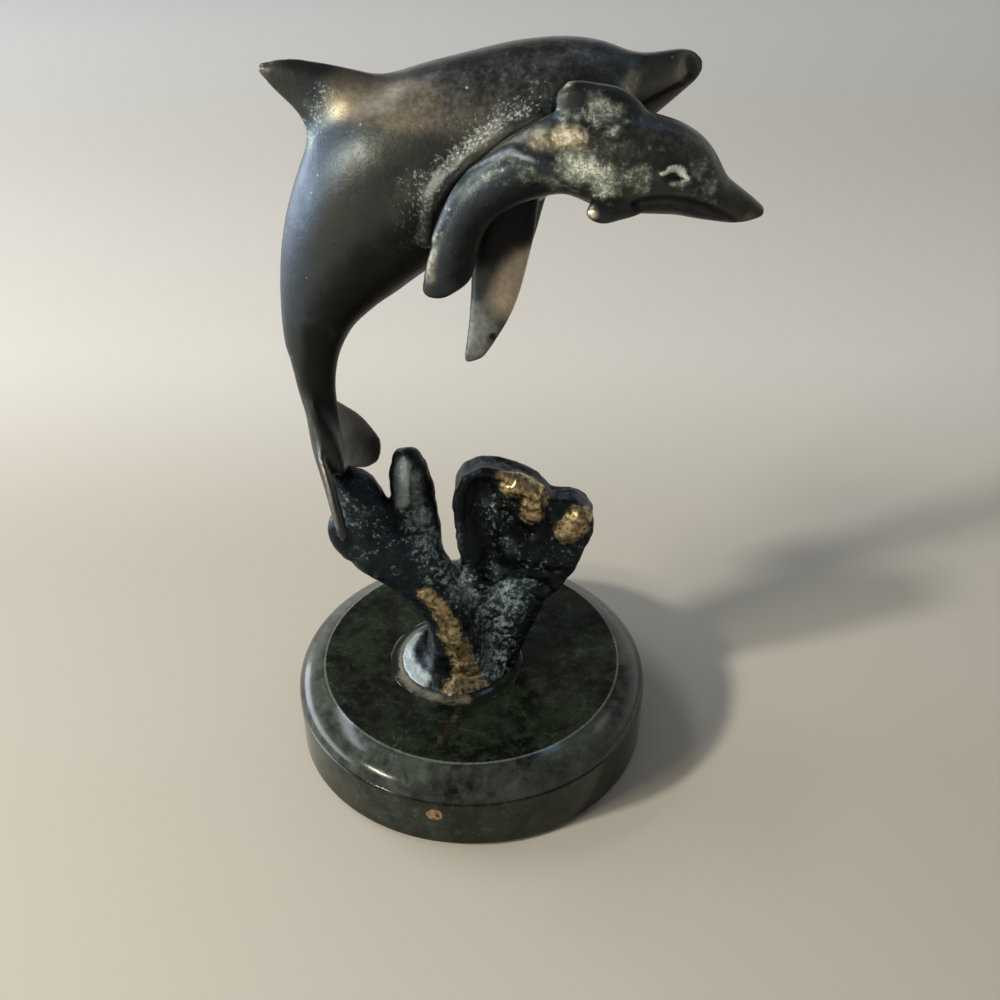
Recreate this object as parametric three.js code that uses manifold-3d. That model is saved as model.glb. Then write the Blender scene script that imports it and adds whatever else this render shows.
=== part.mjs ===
import * as THREE from "three";
import { mergeVertices } from "three/addons/utils/BufferGeometryUtils.js";
import Module from "manifold-3d";

const wasm = await Module();
wasm.setup();

// All sizes are in millimetres. +Z is up, +X is to the right and -Y is towards the viewer.
// The origin is the middle of the felt's underside.

// Marble base
const baseRadius = 50;
const rimHeight = 15.3;
const grooveWidth = 0.9;
const grooveDepth = 0.6;
const shoulderRise = 6.9;
const shoulderWidth = 7.8;
const shoulderSteps = 7;
const edgeChamfer = 0.6;

// Felt under the base
const feltThickness = 1.2;
const feltInset = 3;

// Blind hole and plug in the side of the rim
const plugRadius = 2.6;
const plugLength = 4;
const plugBelowRim = 4.2;
const plugAngle = THREE.MathUtils.degToRad(-100.4);
const plugDome = 0.35;
// The dome's middle point, as shares of the plug's radius and of the dome's height
const plugDomeMiddle = { out: 0.6, down: 0.3 };

// Fastening: a stud in the casting's foot, pulled down by a nut in a counterbore under the marble
const studRadius = 3;
const studInFoot = 8;
const studBeyondNut = 1.5;
const nutAcrossFlats = 10;
const nutHeight = 5;
const washerRadius = 9;
const washerThickness = 1.6;
const springWasherRadius = 5.9;
const springWasherThickness = 1.5;
const springWasherSlit = 1;
const springWasherSlitTilt = 0.4;
const boreGap = 0.6;
const counterboreSideGap = 2;
const counterboreEndGap = 0.9;

// Round foot of the casting and the bead of adhesive round it
const footX = -4.4;
const footY = -2.4;
const footRadius = 15.5;
const footThickness = 2.4;
// Points of the foot's rounded edge: how far each is set in, and its share of the thickness
const footEdge = [[0, 0.5], [1, 0.85], [2.5, 1]];
// How far the right stem's two lowest sections reach past the foot's edge
const stemPastFoot = [0.4, 3.5];
const bossWall = 2.2;
const bossShoulder = 0.8;
const beadWidth = 2.4;
const beadHeight = 1.1;
// The middle point of the bead's slope, as shares of its width and height
const beadMiddle = { out: 0.7, up: 0.55 };

// Clearances
const seamGap = 0.3;
const threadGap = 0.2;

// Heights above the foot where the coral's stems and the mother's tail stock are sawn off and brazed
const stemSeam = 14;
const tailSeam = 91.5;

// Upright middle planes of the coral, the mother and the calf, as distances along Y
const coralPlane = 0;
const motherPlane = coralPlane - 2;
const calfPlane = motherPlane - 20;

// Where the calf's tail end is sawn off and brazed, and how far that cut leans back from level
const calfSeamX = 1.2;
const calfSeamZ = 141.5;
const calfSeamLean = THREE.MathUtils.degToRad(27);

// Half thicknesses of the fins at root and tip
const nearFlukeHalf = [1.8, 1.3];
const farFlukeHalf = [2.7, 1.2];
const motherPectoralHalf = [3.2, 1.3];
const calfPectoralHalf = [3.6, 2.3];
const fingerHalf = [4.6, 4];

// How far the mother's left fin is set ahead of the right one
const leftFinForward = 3.5;

// How far the ends of the bodies are rounded, and the squareness of the coral's sections (1 is oval)
const beakBulge = 0.8;
const motherTailBulge = 2;
const calfTailBulge = 2.6;
const slabSquareness = 0.85;

// Facets, and the distance within which two vertices are one
const baseFacets = 64;
const boltFacets = 24;
const bodySides = 24;
const slabSides = 18;
const finSides = 14;
const weldDistance = 1e-4;

const rimTop = feltThickness + rimHeight;
const baseTop = rimTop + grooveWidth + shoulderRise;
const footRight = footX + footRadius;
const counterboreRadius = washerRadius + counterboreSideGap;
const fastenerStack = washerThickness + springWasherThickness + nutHeight + studBeyondNut;
const washerTop = feltThickness + counterboreEndGap + fastenerStack;
const springWasherTop = washerTop - washerThickness;
const nutTop = springWasherTop - springWasherThickness;
const nutBottom = nutTop - nutHeight;
const studBottom = nutBottom - studBeyondNut;
const threadBore = studRadius + threadGap;

const finish = {
  mother: { color: 0x34343a, roughness: 0.42, metalness: 0.85 },
  calf: { color: 0x3d3f3c, roughness: 0.45, metalness: 0.8 },
  coral: { color: 0x3b4a4c, roughness: 0.6, metalness: 0.6 },
  marble: { color: 0x1e2a22, roughness: 0.12, metalness: 0 },
  felt: { color: 0x2c3a2e, roughness: 0.95, metalness: 0 },
  steel: { color: 0x8d9092, roughness: 0.35, metalness: 1 },
  plug: { color: 0x8a5c3c, roughness: 0.4, metalness: 0.9 },
  adhesive: { color: 0x8f8677, roughness: 0.8, metalness: 0 },
};

// A closed geometry as a solid that can be joined and cut.
function solidOf(geometry) {
  const bare = new THREE.BufferGeometry();
  bare.setAttribute("position", geometry.getAttribute("position"));
  bare.setIndex(geometry.index);
  const merged = mergeVertices(bare, weldDistance);
  const mesh = new wasm.Mesh({
    numProp: 3,
    vertProperties: merged.attributes.position.array,
    triVerts: new Uint32Array(merged.index.array),
  });
  return new wasm.Manifold(mesh);
}

// A solid as a named mesh with flat facets.
function meshOf(name, solid, material) {
  const { numProp, numVert, vertProperties, triVerts } = solid.getMesh();
  const positions = new Float32Array(numVert * 3);
  for (let i = 0; i < numVert; i++) {
    positions.set(vertProperties.subarray(i * numProp, i * numProp + 3), i * 3);
  }
  const geometry = new THREE.BufferGeometry();
  geometry.setAttribute("position", new THREE.BufferAttribute(positions, 3));
  geometry.setIndex(new THREE.BufferAttribute(triVerts, 1));
  geometry.computeVertexNormals();
  const mesh = new THREE.Mesh(geometry, new THREE.MeshStandardMaterial(material));
  mesh.name = name;
  return mesh;
}

// A profile of [radius, height] pairs turned about the Z axis.
function turned(profile, facets) {
  const points = profile.map(([radius, height]) => new THREE.Vector2(radius, height));
  return solidOf(new THREE.LatheGeometry(points, facets).rotateX(Math.PI / 2));
}

// A plain cylinder standing on a height.
function rod(radius, bottom, top, facets) {
  const geometry = new THREE.CylinderGeometry(radius, radius, top - bottom, facets);
  return solidOf(geometry.rotateX(Math.PI / 2).translate(0, 0, (top + bottom) / 2));
}

// A flat ring between two heights.
function ring(inner, outer, bottom, top, facets) {
  return rod(outer, bottom, top, facets).subtract(rod(inner, bottom - 1, top + 1, facets));
}

// An oval section: a and b are its two edges, and half is its half thickness between them.
function section(a, b, half) {
  return { a: new THREE.Vector3(...a), b: new THREE.Vector3(...b), half };
}

// Sections in one upright plane, each row holding x and z of both edges and the half thickness.
function body(plane, rows) {
  return rows.map(([ax, az, bx, bz, half]) => section([ax, plane, az], [bx, plane, bz], half));
}

// The same with each row's distance from the plane in front.
function limb(plane, rows) {
  return rows.map(([off, ...row]) => body(plane + off, [row])[0]);
}

// A fin: the half thickness falls evenly from the first row to the last one.
function fin(plane, [rootHalf, tipHalf], rows) {
  const half = (index) => THREE.MathUtils.lerp(rootHalf, tipHalf, index / (rows.length - 1));
  return limb(plane, rows.map((row, index) => [...row, half(index)]));
}

// The same sections mirrored in an upright plane.
function mirrored(sections, y) {
  const flip = (p) => [p.x, 2 * y - p.y, p.z];
  return sections.map(({ a, b, half }) => section(flip(a), flip(b), half));
}

// Smooth sections between the given ones.
function resampled(sections, steps) {
  const values = sections.flatMap(({ a, b, half }) => [...a, ...b, half]);
  const times = sections.map((_, index) => index);
  const curve = new THREE.CubicInterpolant(times, values, 7, new Float32Array(7));
  const count = (sections.length - 1) * steps;
  return Array.from({ length: count + 1 }, (_, index) => {
    const [ax, ay, az, bx, by, bz, half] = curve.evaluate(index / steps);
    return section([ax, ay, az], [bx, by, bz], half);
  });
}

// A closed skin over oval sections, with rounded ends. It grows outwards by the value of grow.
function loft(sections, { steps = 2, sides = bodySides, grow = 0, square = 1, ends } = {}) {
  const smooth = resampled(sections, steps);
  const mids = smooth.map(({ a, b }) => a.clone().add(b).multiplyScalar(0.5));
  const last = smooth.length - 1;
  const rings = smooth.map(({ a, b, half }, index) => {
    const before = mids[Math.max(index - 1, 0)];
    const after = mids[Math.min(index + 1, last)];
    const along = after.clone().sub(before).normalize();
    const chord = a.clone().sub(b).multiplyScalar(0.5);
    const normal = chord.clone().cross(along).normalize();
    const halfChord = chord.length() + grow;
    return { mid: mids[index], along, chord: chord.setLength(halfChord), normal, half: half + grow };
  });

  const [startBulge, endBulge] = ends ?? [rings[0].half, rings[last].half];
  const shrunk = (from, direction, bulge, angle) => ({
    mid: from.mid.clone().addScaledVector(from.along, direction * bulge * Math.sin(angle)),
    chord: from.chord.clone().multiplyScalar(Math.cos(angle)),
    normal: from.normal,
    half: from.half * Math.cos(angle),
  });
  const capAngles = [Math.PI / 3, Math.PI / 6];
  const startCap = capAngles.map((angle) => shrunk(rings[0], -1, startBulge + grow, angle));
  const endCap = capAngles.map((angle) => shrunk(rings[last], 1, endBulge + grow, angle)).reverse();
  const stack = [...startCap, ...rings, ...endCap];

  const power = (value) => Math.sign(value) * Math.abs(value) ** square;
  const positions = [];
  for (const { mid, chord, normal, half } of stack) {
    for (let side = 0; side < sides; side++) {
      const angle = (2 * Math.PI * side) / sides;
      const point = mid.clone().addScaledVector(chord, power(Math.cos(angle)));
      positions.push(...point.addScaledVector(normal, half * power(Math.sin(angle))));
    }
  }
  const startPole = positions.length / 3;
  positions.push(...shrunk(rings[0], -1, startBulge + grow, Math.PI / 2).mid);
  positions.push(...shrunk(rings[last], 1, endBulge + grow, Math.PI / 2).mid);

  const triangles = [];
  for (let row = 0; row < stack.length - 1; row++) {
    for (let side = 0; side < sides; side++) {
      const here = row * sides + side;
      const beside = row * sides + ((side + 1) % sides);
      triangles.push(here, here + sides, beside + sides, here, beside + sides, beside);
    }
  }
  const lastRow = (stack.length - 1) * sides;
  for (let side = 0; side < sides; side++) {
    const beside = (side + 1) % sides;
    triangles.push(startPole, side, beside);
    triangles.push(startPole + 1, lastRow + beside, lastRow + side);
  }
  const geometry = new THREE.BufferGeometry();
  geometry.setAttribute("position", new THREE.Float32BufferAttribute(positions, 3));
  geometry.setIndex(triangles);
  return solidOf(geometry);
}

// Felt pad
const felt = rod(baseRadius - feltInset, 0, feltThickness, baseFacets);

// Marble base: straight rim, a fine groove, a convex shoulder, and a bore with a counterbore below
function marbleBase() {
  const shoulderBottom = rimTop + grooveWidth;
  const boreRadius = studRadius + boreGap;
  const shoulder = Array.from({ length: shoulderSteps + 1 }, (_, index) => {
    const angle = (index / shoulderSteps) * (Math.PI / 2);
    const radius = baseRadius - shoulderWidth * (1 - Math.cos(angle));
    return [radius, shoulderBottom + shoulderRise * Math.sin(angle)];
  });
  const profile = [
    [counterboreRadius, feltThickness],
    [baseRadius - edgeChamfer, feltThickness],
    [baseRadius, feltThickness + edgeChamfer],
    [baseRadius, rimTop],
    [baseRadius - grooveDepth, rimTop + grooveWidth / 2],
    ...shoulder,
    [boreRadius, baseTop],
    [boreRadius, washerTop],
    [counterboreRadius, washerTop],
    [counterboreRadius, feltThickness],
  ];
  return turned(profile, baseFacets).subtract(plugSolid(plugRadius + threadGap, seamGap));
}

// A short round plug that lies along a radius of the base, with a slightly domed face.
function plugSolid(radius, extra) {
  const face = baseRadius + plugDome + extra;
  const back = baseRadius - plugLength - extra;
  const profile = [
    [0, back],
    [radius, back],
    [radius, face - plugDome],
    [radius * plugDomeMiddle.out, face - plugDome * plugDomeMiddle.down],
    [0, face],
  ];
  const points = profile.map(([r, height]) => new THREE.Vector2(r, height));
  const geometry = new THREE.LatheGeometry(points, boltFacets).rotateZ(-Math.PI / 2);
  return solidOf(geometry.rotateZ(plugAngle).translate(0, 0, rimTop - plugBelowRim));
}

// Fastening pieces, hung from the counterbore's ceiling
const flatWasher = ring(threadBore, washerRadius, springWasherTop, washerTop, boltFacets);

function springWasher() {
  const whole = ring(threadBore, springWasherRadius, nutTop, springWasherTop, boltFacets);
  const slit = new THREE.BoxGeometry(springWasherRadius * 2, springWasherSlit, springWasherThickness * 4);
  slit.rotateX(springWasherSlitTilt).translate(springWasherRadius, 0, (nutTop + springWasherTop) / 2);
  return whole.subtract(solidOf(slit));
}

function hexNut() {
  const corner = nutAcrossFlats / Math.sqrt(3);
  return rod(corner, nutBottom, nutTop, 6).subtract(rod(threadBore, nutBottom - 1, nutTop + 1, boltFacets));
}

const stud = rod(studRadius, studBottom, baseTop + studInFoot, boltFacets);

// The casting is measured from the middle of the marble's top face.
// Each row of a section list holds x and z of one edge, x and z of the edge across, and a half thickness.
// In front of them, a limb's or fin's row holds its distance from the plane.

// Coral: two stems rise from a round foot, and the left one bends over to carry the tail
const leftBranchSections = limb(coralPlane, [
  [-6, -13, -2, 5, -2, 8.5],
  [-6, -12.6, 8, 4.8, 7, 7.4],
  [-5.2, -13, 18, 2.2, 19, 6.4],
  [-4.4, -17, 24.5, -1.8, 30, 5.9],
  [-4, -24, 31, -6, 39, 5.6],
  [-3, -31.5, 35.5, -12, 46.5, 5.5],
  [-2, -34.6, 44, -18.8, 51.6, 5],
  [-1.5, -33.4, 53.5, -22, 57.4, 4.6],
  [-1, -36, 61, -24.8, 62.2, 4.2],
]);

// A rounded knob at the bend of the left branch
const knobSections = limb(coralPlane, [
  [-3.4, -34.8, 39.6, -28, 43, 3.6],
  [-3.4, -38.2, 44.6, -29, 46.8, 4],
  [-3.2, -37.8, 48.6, -30, 50, 3.2],
]);

const fingerSections = fin(coralPlane, fingerHalf, [
  [-2, -16, 34, -6.6, 34],
  [-1, -19, 44, -7, 44],
  [0, -20.6, 53, -8.2, 54],
  [0.6, -20.8, 61, -9.4, 61.5],
  [0.8, -20.4, 66, -11.2, 66.6],
]);

const rightStemSections = limb(coralPlane, [
  [1, 0, -2, footRight + stemPastFoot[0], -2, 6],
  [0.6, 1, 8, footRight + stemPastFoot[1], 5.4, 5.7],
  [0.4, -1, 18.5, 17.8, 13, 5.4],
  [0.5, -2.5, 30, 22.5, 22.5, 5],
  [0, -2, 40, 25, 32, 4.8],
]);

// The broad leaf's edge, x and z, from its lower end round by the right
const leafEdge = [
  [8, 18], [17.6, 18.2], [20.4, 22.6], [25.6, 28.6], [28.2, 33.2], [30.8, 40.8], [32.8, 46.6],
  [32.8, 50.6], [31.2, 54.6], [28.4, 56.8], [24.8, 57.2], [22, 57], [20, 59.4], [17, 62.4],
  [12.6, 64.6], [9, 66], [4.2, 66.9], [1.4, 66], [-1.4, 64], [-3.5, 60.8], [-3.9, 54.4],
  [-3.5, 48.6], [-2.7, 40], [-2.2, 33], [0, 26],
];
const leafRimFront = coralPlane - 3.6;
const leafRimBack = coralPlane + 2.8;
const leafRim = { bevelSize: 3, bevelOffset: -3, bevelThickness: 2.2, bevelSegments: 2 };

// Two lumps stand proud of the leaf's front
const upperLumpSections = limb(coralPlane, [
  [-4.6, 10, 63.5, 19, 61, 2.4],
  [-5, 11.5, 57, 20, 55, 2.8],
  [-4.8, 14, 51.5, 18.5, 50.5, 2],
]);
const lowerLumpSections = limb(coralPlane, [
  [-4.6, 25, 54, 31, 53.5, 2],
  [-4.8, 24, 49.5, 31, 48.5, 2.6],
  [-4.6, 23.8, 45, 28.5, 44, 2],
]);

function leafPlate() {
  const shape = new THREE.Shape(leafEdge.map(([x, z]) => new THREE.Vector2(x, z)));
  const plate = new THREE.ExtrudeGeometry(shape, { depth: leafRimBack - leafRimFront, ...leafRim });
  return solidOf(plate.rotateX(Math.PI / 2).translate(0, leafRimBack, 0));
}

function footDisc() {
  const profile = [
    [0, 0],
    [footRadius, 0],
    ...footEdge.map(([inwards, share]) => [footRadius - inwards, footThickness * share]),
    [0, footThickness],
  ];
  return turned(profile, baseFacets).translate([footX, footY, 0]);
}

function adhesiveBead() {
  const inner = footRadius + seamGap;
  const profile = [
    [inner, 0],
    [inner + beadWidth, 0],
    [inner + beadWidth * beadMiddle.out, beadHeight * beadMiddle.up],
    [inner, beadHeight],
    [inner, 0],
  ];
  const bead = turned(profile, baseFacets).translate([footX, footY, 0]);
  return bead.subtract(leftBranch(seamGap)).subtract(rightStem(seamGap));
}

const up = [0, 0, 1];
const down = [0, 0, -1];
const slab = { sides: slabSides, square: slabSquareness };
const leftBranch = (grow) => loft(leftBranchSections, { ...slab, grow });
const rightStem = (grow) => loft(rightStemSections, { ...slab, grow });
const finger = (grow) => loft(fingerSections, { sides: finSides, grow });

// A low cone between the stems holds the stud's tapped hole.
function studBoss() {
  const top = studInFoot + bossWall;
  const profile = [
    [0, 0],
    [studRadius + bossWall * 2, 0],
    [studRadius + bossWall, top * bossShoulder],
    [studRadius, top],
    [0, top],
  ];
  return turned(profile, boltFacets);
}

function coralFoot() {
  const stems = leftBranch(0).add(rightStem(0)).add(studBoss());
  const studHole = rod(threadBore, -1, studInFoot + seamGap, boltFacets);
  return stems.trimByPlane(up, 0).add(footDisc()).trimByPlane(down, -stemSeam).subtract(studHole);
}

function coralLeftBranch() {
  const branch = leftBranch(0).add(loft(knobSections, { sides: finSides }));
  return branch.trimByPlane(up, stemSeam).subtract(flukes(seamGap));
}

function coralRightLeaf() {
  const lumps = loft(upperLumpSections, slab).add(loft(lowerLumpSections, slab));
  const leaf = rightStem(0).add(leafPlate()).add(lumps).trimByPlane(up, stemSeam);
  return leaf.subtract(leftBranch(seamGap)).subtract(finger(seamGap));
}

// Mother: dorsal edge, ventral edge and half width, from the beak to the end of the tail stock
const motherSections = body(motherPlane, [
  [50.4, 168.3, 49.9, 164.7, 2.4],
  [48, 169.9, 47.3, 162.3, 3.5],
  [45, 170.2, 44, 159.3, 4.4],
  [40, 169.4, 39, 155.1, 6.2],
  [35, 169.8, 32.5, 149.8, 8.6],
  [29, 171.9, 25.5, 144.2, 11.4],
  [20, 172.7, 18, 138.7, 13.6],
  [9, 171.3, 10.5, 134.1, 15],
  [-2, 168.9, 3, 129.2, 15.6],
  [-12.5, 166.3, -4, 124.7, 15.6],
  [-22.5, 162, -10, 120.3, 15],
  [-30, 156, -14.8, 116.4, 13.8],
  [-34.6, 149.7, -18.8, 113.6, 12.4],
  [-38.2, 139.9, -22.6, 110.5, 10.8],
  [-41.4, 128.2, -26, 107.1, 8.8],
  [-43, 115.8, -28.8, 102.5, 6.8],
  [-43.4, 103.7, -30.8, 97.5, 5],
  [-42.5, 93.5, -32, 90.5, 4.1],
  [-40.9, 84, -31.8, 82.4, 3.5],
  [-38, 75, -31.2, 74, 2.8],
  [-36, 67, -30.8, 66.2, 2.4],
]);

// Its dorsal fin, with a wide root in the back
const motherDorsalFin = body(motherPlane, [
  [-2, 152, -26, 132, 12.5],
  [-10, 160, -29, 140, 9.2],
  [-17, 165.8, -33, 148.6, 5.8],
  [-24.5, 167.4, -34, 154, 3.9],
  [-31, 168.3, -36.8, 158, 2.9],
  [-37, 168.3, -39.5, 161.2, 2.1],
  [-40.6, 167.4, -41.4, 164.6, 1.3],
]);

// Flukes: leading edge and trailing edge, from inside the tail stock to each tip
const nearFluke = fin(motherPlane, nearFlukeHalf, [
  [5, -38.4, 90, -34.6, 68],
  [0, -39.8, 88, -36.8, 66],
  [-4, -38.5, 82, -35.1, 62.8],
  [-9, -36, 76.5, -33.2, 58.6],
  [-14, -33.6, 69.6, -31.3, 54.6],
  [-17.4, -31.6, 62.6, -30.6, 55.2],
]);

const farFluke = fin(motherPlane, farFlukeHalf, [
  [-5, -38, 90, -31.6, 66],
  [0, -38, 90, -31.4, 64.6],
  [5, -36.4, 85.5, -30.4, 62.4],
  [10, -33, 80, -29.4, 59],
  [15, -28.2, 72.6, -28, 55.8],
  [18.4, -24.4, 63.8, -26, 55.4],
]);

// Right pectoral fin: leading edge and trailing edge, from the flank to the tip
const rightPectoral = fin(motherPlane, motherPectoralHalf, [
  [-9, 16.8, 144, 3, 142],
  [-11.5, 16.4, 138, 2, 132],
  [-13, 14.8, 131, 1.8, 124],
  [-14.5, 12.6, 122, 1.3, 116.6],
  [-15.6, 9.4, 114.6, 0.6, 110.4],
  [-16.3, 5.2, 108, 0.1, 106.6],
]);

// Calf: dorsal edge, ventral edge and half width, from the beak to the rounded tail end
const calfSections = body(calfPlane, [
  [61.9, 144.4, 61.5, 141.9, 1.9],
  [59.8, 146.2, 58.8, 141, 3],
  [56.8, 148.4, 55.6, 140.7, 3.9],
  [54, 150.6, 52.4, 141.2, 4.8],
  [51.6, 155.4, 48.6, 141.8, 6.3],
  [47.6, 159.6, 44, 142.6, 7.6],
  [42, 162.2, 38, 143, 8.4],
  [35.5, 164, 33, 143, 8.6],
  [28, 165, 27, 144.6, 8.2],
  [20, 163.7, 21.5, 147.3, 7.4],
  [12.5, 160, 16, 146.3, 6.4],
  [6.5, 155.7, 10.4, 144, 5.4],
  [1.5, 151, 6, 140.2, 4.6],
  [-2, 146.6, 4.2, 136, 4],
  [-5, 139.4, 3, 131.4, 3.4],
  [-7.6, 131, 1.8, 127.4, 2.8],
  [-8.4, 126.4, -1.4, 125, 2.2],
]);

const calfDorsalFin = body(calfPlane, [
  [38, 160, 20, 157.5, 5.4],
  [37.6, 163.8, 19.4, 161.5, 4.3],
  [35, 166.3, 18.9, 165, 3.2],
  [31.4, 168.3, 19, 167.4, 2.4],
  [27, 168.9, 20.8, 168.3, 1.7],
]);

const calfRightPectoral = fin(calfPlane, calfPectoralHalf, [
  [-2, 41, 146, 29.5, 152],
  [-5.4, 36.4, 144.4, 27, 149.4],
  [-8, 31.2, 144, 25.8, 147.2],
]);

const finLook = { sides: finSides };
const beakEnds = (tailBulge) => ({ ends: [beakBulge, tailBulge] });

// The tip of the mother's beak is sawn off flat, at an angle.
const beakCutPoint = new THREE.Vector3(48.5, -3.5, 167.6);
const beakCutOutwards = new THREE.Vector3(0.66, -0.7, 0.26).normalize();
const beakCutInwards = beakCutOutwards.clone().negate();

function mother(grow) {
  const whole = loft(motherSections, { grow, ...beakEnds(motherTailBulge) });
  const trunk = whole.trimByPlane([...beakCutInwards], beakCutInwards.dot(beakCutPoint) - grow);
  return trunk.add(loft(motherDorsalFin, { ...finLook, grow }));
}

// The flukes keep the lower end of the tail stock, so that their seam is a level cut across it.
function flukes(grow) {
  const lobes = [nearFluke, farFluke].map((rows) => loft(rows, { ...finLook, grow }));
  return mother(grow).add(lobes[0]).add(lobes[1]).trimByPlane(down, -tailSeam);
}

// The calf from beak to tail end, which is cut in two at a leaning plane.
const calf = (grow) => loft(calfSections, { grow, ...beakEnds(calfTailBulge) });
const towardsTail = [-Math.sin(calfSeamLean), 0, -Math.cos(calfSeamLean)];
const towardsHead = towardsTail.map((value) => -value);
const calfSeam = towardsTail[0] * calfSeamX + towardsTail[2] * calfSeamZ;

function calfBody() {
  const trunk = calf(0).trimByPlane(towardsHead, -calfSeam);
  return trunk.add(loft(calfDorsalFin, finLook)).subtract(mother(seamGap));
}

function calfFlukes() {
  return calf(0).trimByPlane(towardsTail, calfSeam + seamGap).subtract(mother(seamGap));
}

function motherPectoral(sections) {
  return loft(sections, finLook).subtract(mother(seamGap)).subtract(calf(seamGap));
}

function calfPectoral(sections) {
  return loft(sections, finLook).subtract(calf(seamGap)).subtract(mother(seamGap));
}

const leftPectoral = mirrored(rightPectoral, motherPlane);
leftPectoral.forEach(({ a, b }) => [a, b].forEach((edge) => (edge.x += leftFinForward)));

const sculpture = new THREE.Group();
sculpture.add(
  meshOf("felt_pad", felt, finish.felt),
  meshOf("marble_base", marbleBase(), finish.marble),
  meshOf("side_plug", plugSolid(plugRadius, 0), finish.plug),
  meshOf("flat_washer", flatWasher, finish.steel),
  meshOf("spring_washer", springWasher(), finish.steel),
  meshOf("hex_nut", hexNut(), finish.steel),
  meshOf("threaded_stud", stud, finish.steel),
);

const casting = new THREE.Group();
casting.position.z = baseTop;
casting.add(
  meshOf("adhesive_bead", adhesiveBead(), finish.adhesive),
  meshOf("coral_foot", coralFoot(), finish.coral),
  meshOf("coral_left_branch", coralLeftBranch(), finish.coral),
  meshOf("coral_finger", finger(0).subtract(leftBranch(seamGap)), finish.coral),
  meshOf("coral_right_leaf", coralRightLeaf(), finish.coral),
  meshOf("mother_body", mother(0).trimByPlane(up, tailSeam), finish.mother),
  meshOf("mother_flukes", flukes(0), finish.mother),
  meshOf("mother_right_pectoral_fin", motherPectoral(rightPectoral), finish.mother),
  meshOf("mother_left_pectoral_fin", motherPectoral(leftPectoral), finish.mother),
  meshOf("calf_body", calfBody(), finish.calf),
  meshOf("calf_flukes", calfFlukes(), finish.calf),
  meshOf("calf_right_pectoral_fin", calfPectoral(calfRightPectoral), finish.calf),
  meshOf("calf_left_pectoral_fin", calfPectoral(mirrored(calfRightPectoral, calfPlane)), finish.calf),
);
sculpture.add(casting);

export default sculpture;
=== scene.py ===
import math

import bmesh
import bpy
import numpy as np
from mathutils import Matrix, Vector


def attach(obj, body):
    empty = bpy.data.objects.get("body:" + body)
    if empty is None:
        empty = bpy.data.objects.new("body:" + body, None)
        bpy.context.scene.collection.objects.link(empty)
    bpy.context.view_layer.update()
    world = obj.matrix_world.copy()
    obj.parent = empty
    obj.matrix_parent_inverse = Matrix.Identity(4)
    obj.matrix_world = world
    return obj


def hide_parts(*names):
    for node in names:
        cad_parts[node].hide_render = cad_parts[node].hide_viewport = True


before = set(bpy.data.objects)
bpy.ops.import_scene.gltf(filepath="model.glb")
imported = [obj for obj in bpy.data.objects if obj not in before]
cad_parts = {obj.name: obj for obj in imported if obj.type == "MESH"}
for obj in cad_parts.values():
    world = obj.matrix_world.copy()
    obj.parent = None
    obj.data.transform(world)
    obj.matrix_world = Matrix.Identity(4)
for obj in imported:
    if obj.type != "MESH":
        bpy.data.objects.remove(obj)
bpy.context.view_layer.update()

# Shapes are written in millimetres. Heights of the casting are above the marble's top face.
MM = 0.001
BASE_TOP = 24.3
CORAL_PLANE = 0.0
MOTHER_PLANE = -2.0
CALF_PLANE = -22.0
FOOT_CENTRE = (-4.4, -2.4)
FULLY_PROUD = 0.35


# Modelling

def deselect():
    if bpy.context.mode != "OBJECT":
        bpy.ops.object.mode_set(mode="OBJECT")
    bpy.ops.object.select_all(action="DESELECT")


def pick(piece):
    deselect()
    piece.select_set(True)
    bpy.context.view_layer.objects.active = piece


def modify(piece, kind, **settings):
    """Adds a modifier and applies it at once."""
    pick(piece)
    modifier = piece.modifiers.new(kind.lower(), kind)
    for key, value in settings.items():
        setattr(modifier, key, value)
    bpy.ops.object.modifier_apply(modifier=modifier.name)
    return piece


def empty_mesh(name):
    """A new piece with nothing in it yet, left in edit mode."""
    deselect()
    bpy.ops.mesh.primitive_circle_add(vertices=3, radius=MM)
    piece = bpy.context.object
    piece.name = piece.data.name = name
    bpy.ops.object.mode_set(mode="EDIT")
    bpy.ops.mesh.delete(type="VERT")
    return piece


def between(rows, steps):
    """Rows on smooth curves through the given ones."""
    rows = np.array(rows, float)
    padded = np.vstack([2 * rows[0] - rows[1], rows, 2 * rows[-1] - rows[-2]])
    found = []
    for k in range(1, len(rows)):
        p0, p1, p2, p3 = padded[k - 1:k + 3]
        for t in np.arange(steps) / steps:
            bend = (2 * p0 - 5 * p1 + 4 * p2 - p3) * t**2 + (3 * p1 - p0 - 3 * p2 + p3) * t**3
            found.append(0.5 * (2 * p1 + (p2 - p0) * t + bend))
    return np.array(found + [rows[-1]])


def sections(plane, rows, halves=None):
    """Oval sections from rows of offset from the plane, x and z of one edge, x and z of the edge across,
    and half thickness; halves gives the half thickness at the first and last row instead."""
    found = []
    for k, row in enumerate(rows):
        offset, ax, az, bx, bz = row[:5]
        half = row[5] if halves is None else np.interp(k / (len(rows) - 1), (0, 1), halves)
        y = plane + offset
        found.append((ax, y, az + BASE_TOP, bx, y, bz + BASE_TOP, half))
    return found


def body(rows):
    return [(0, *row) for row in rows]


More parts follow.
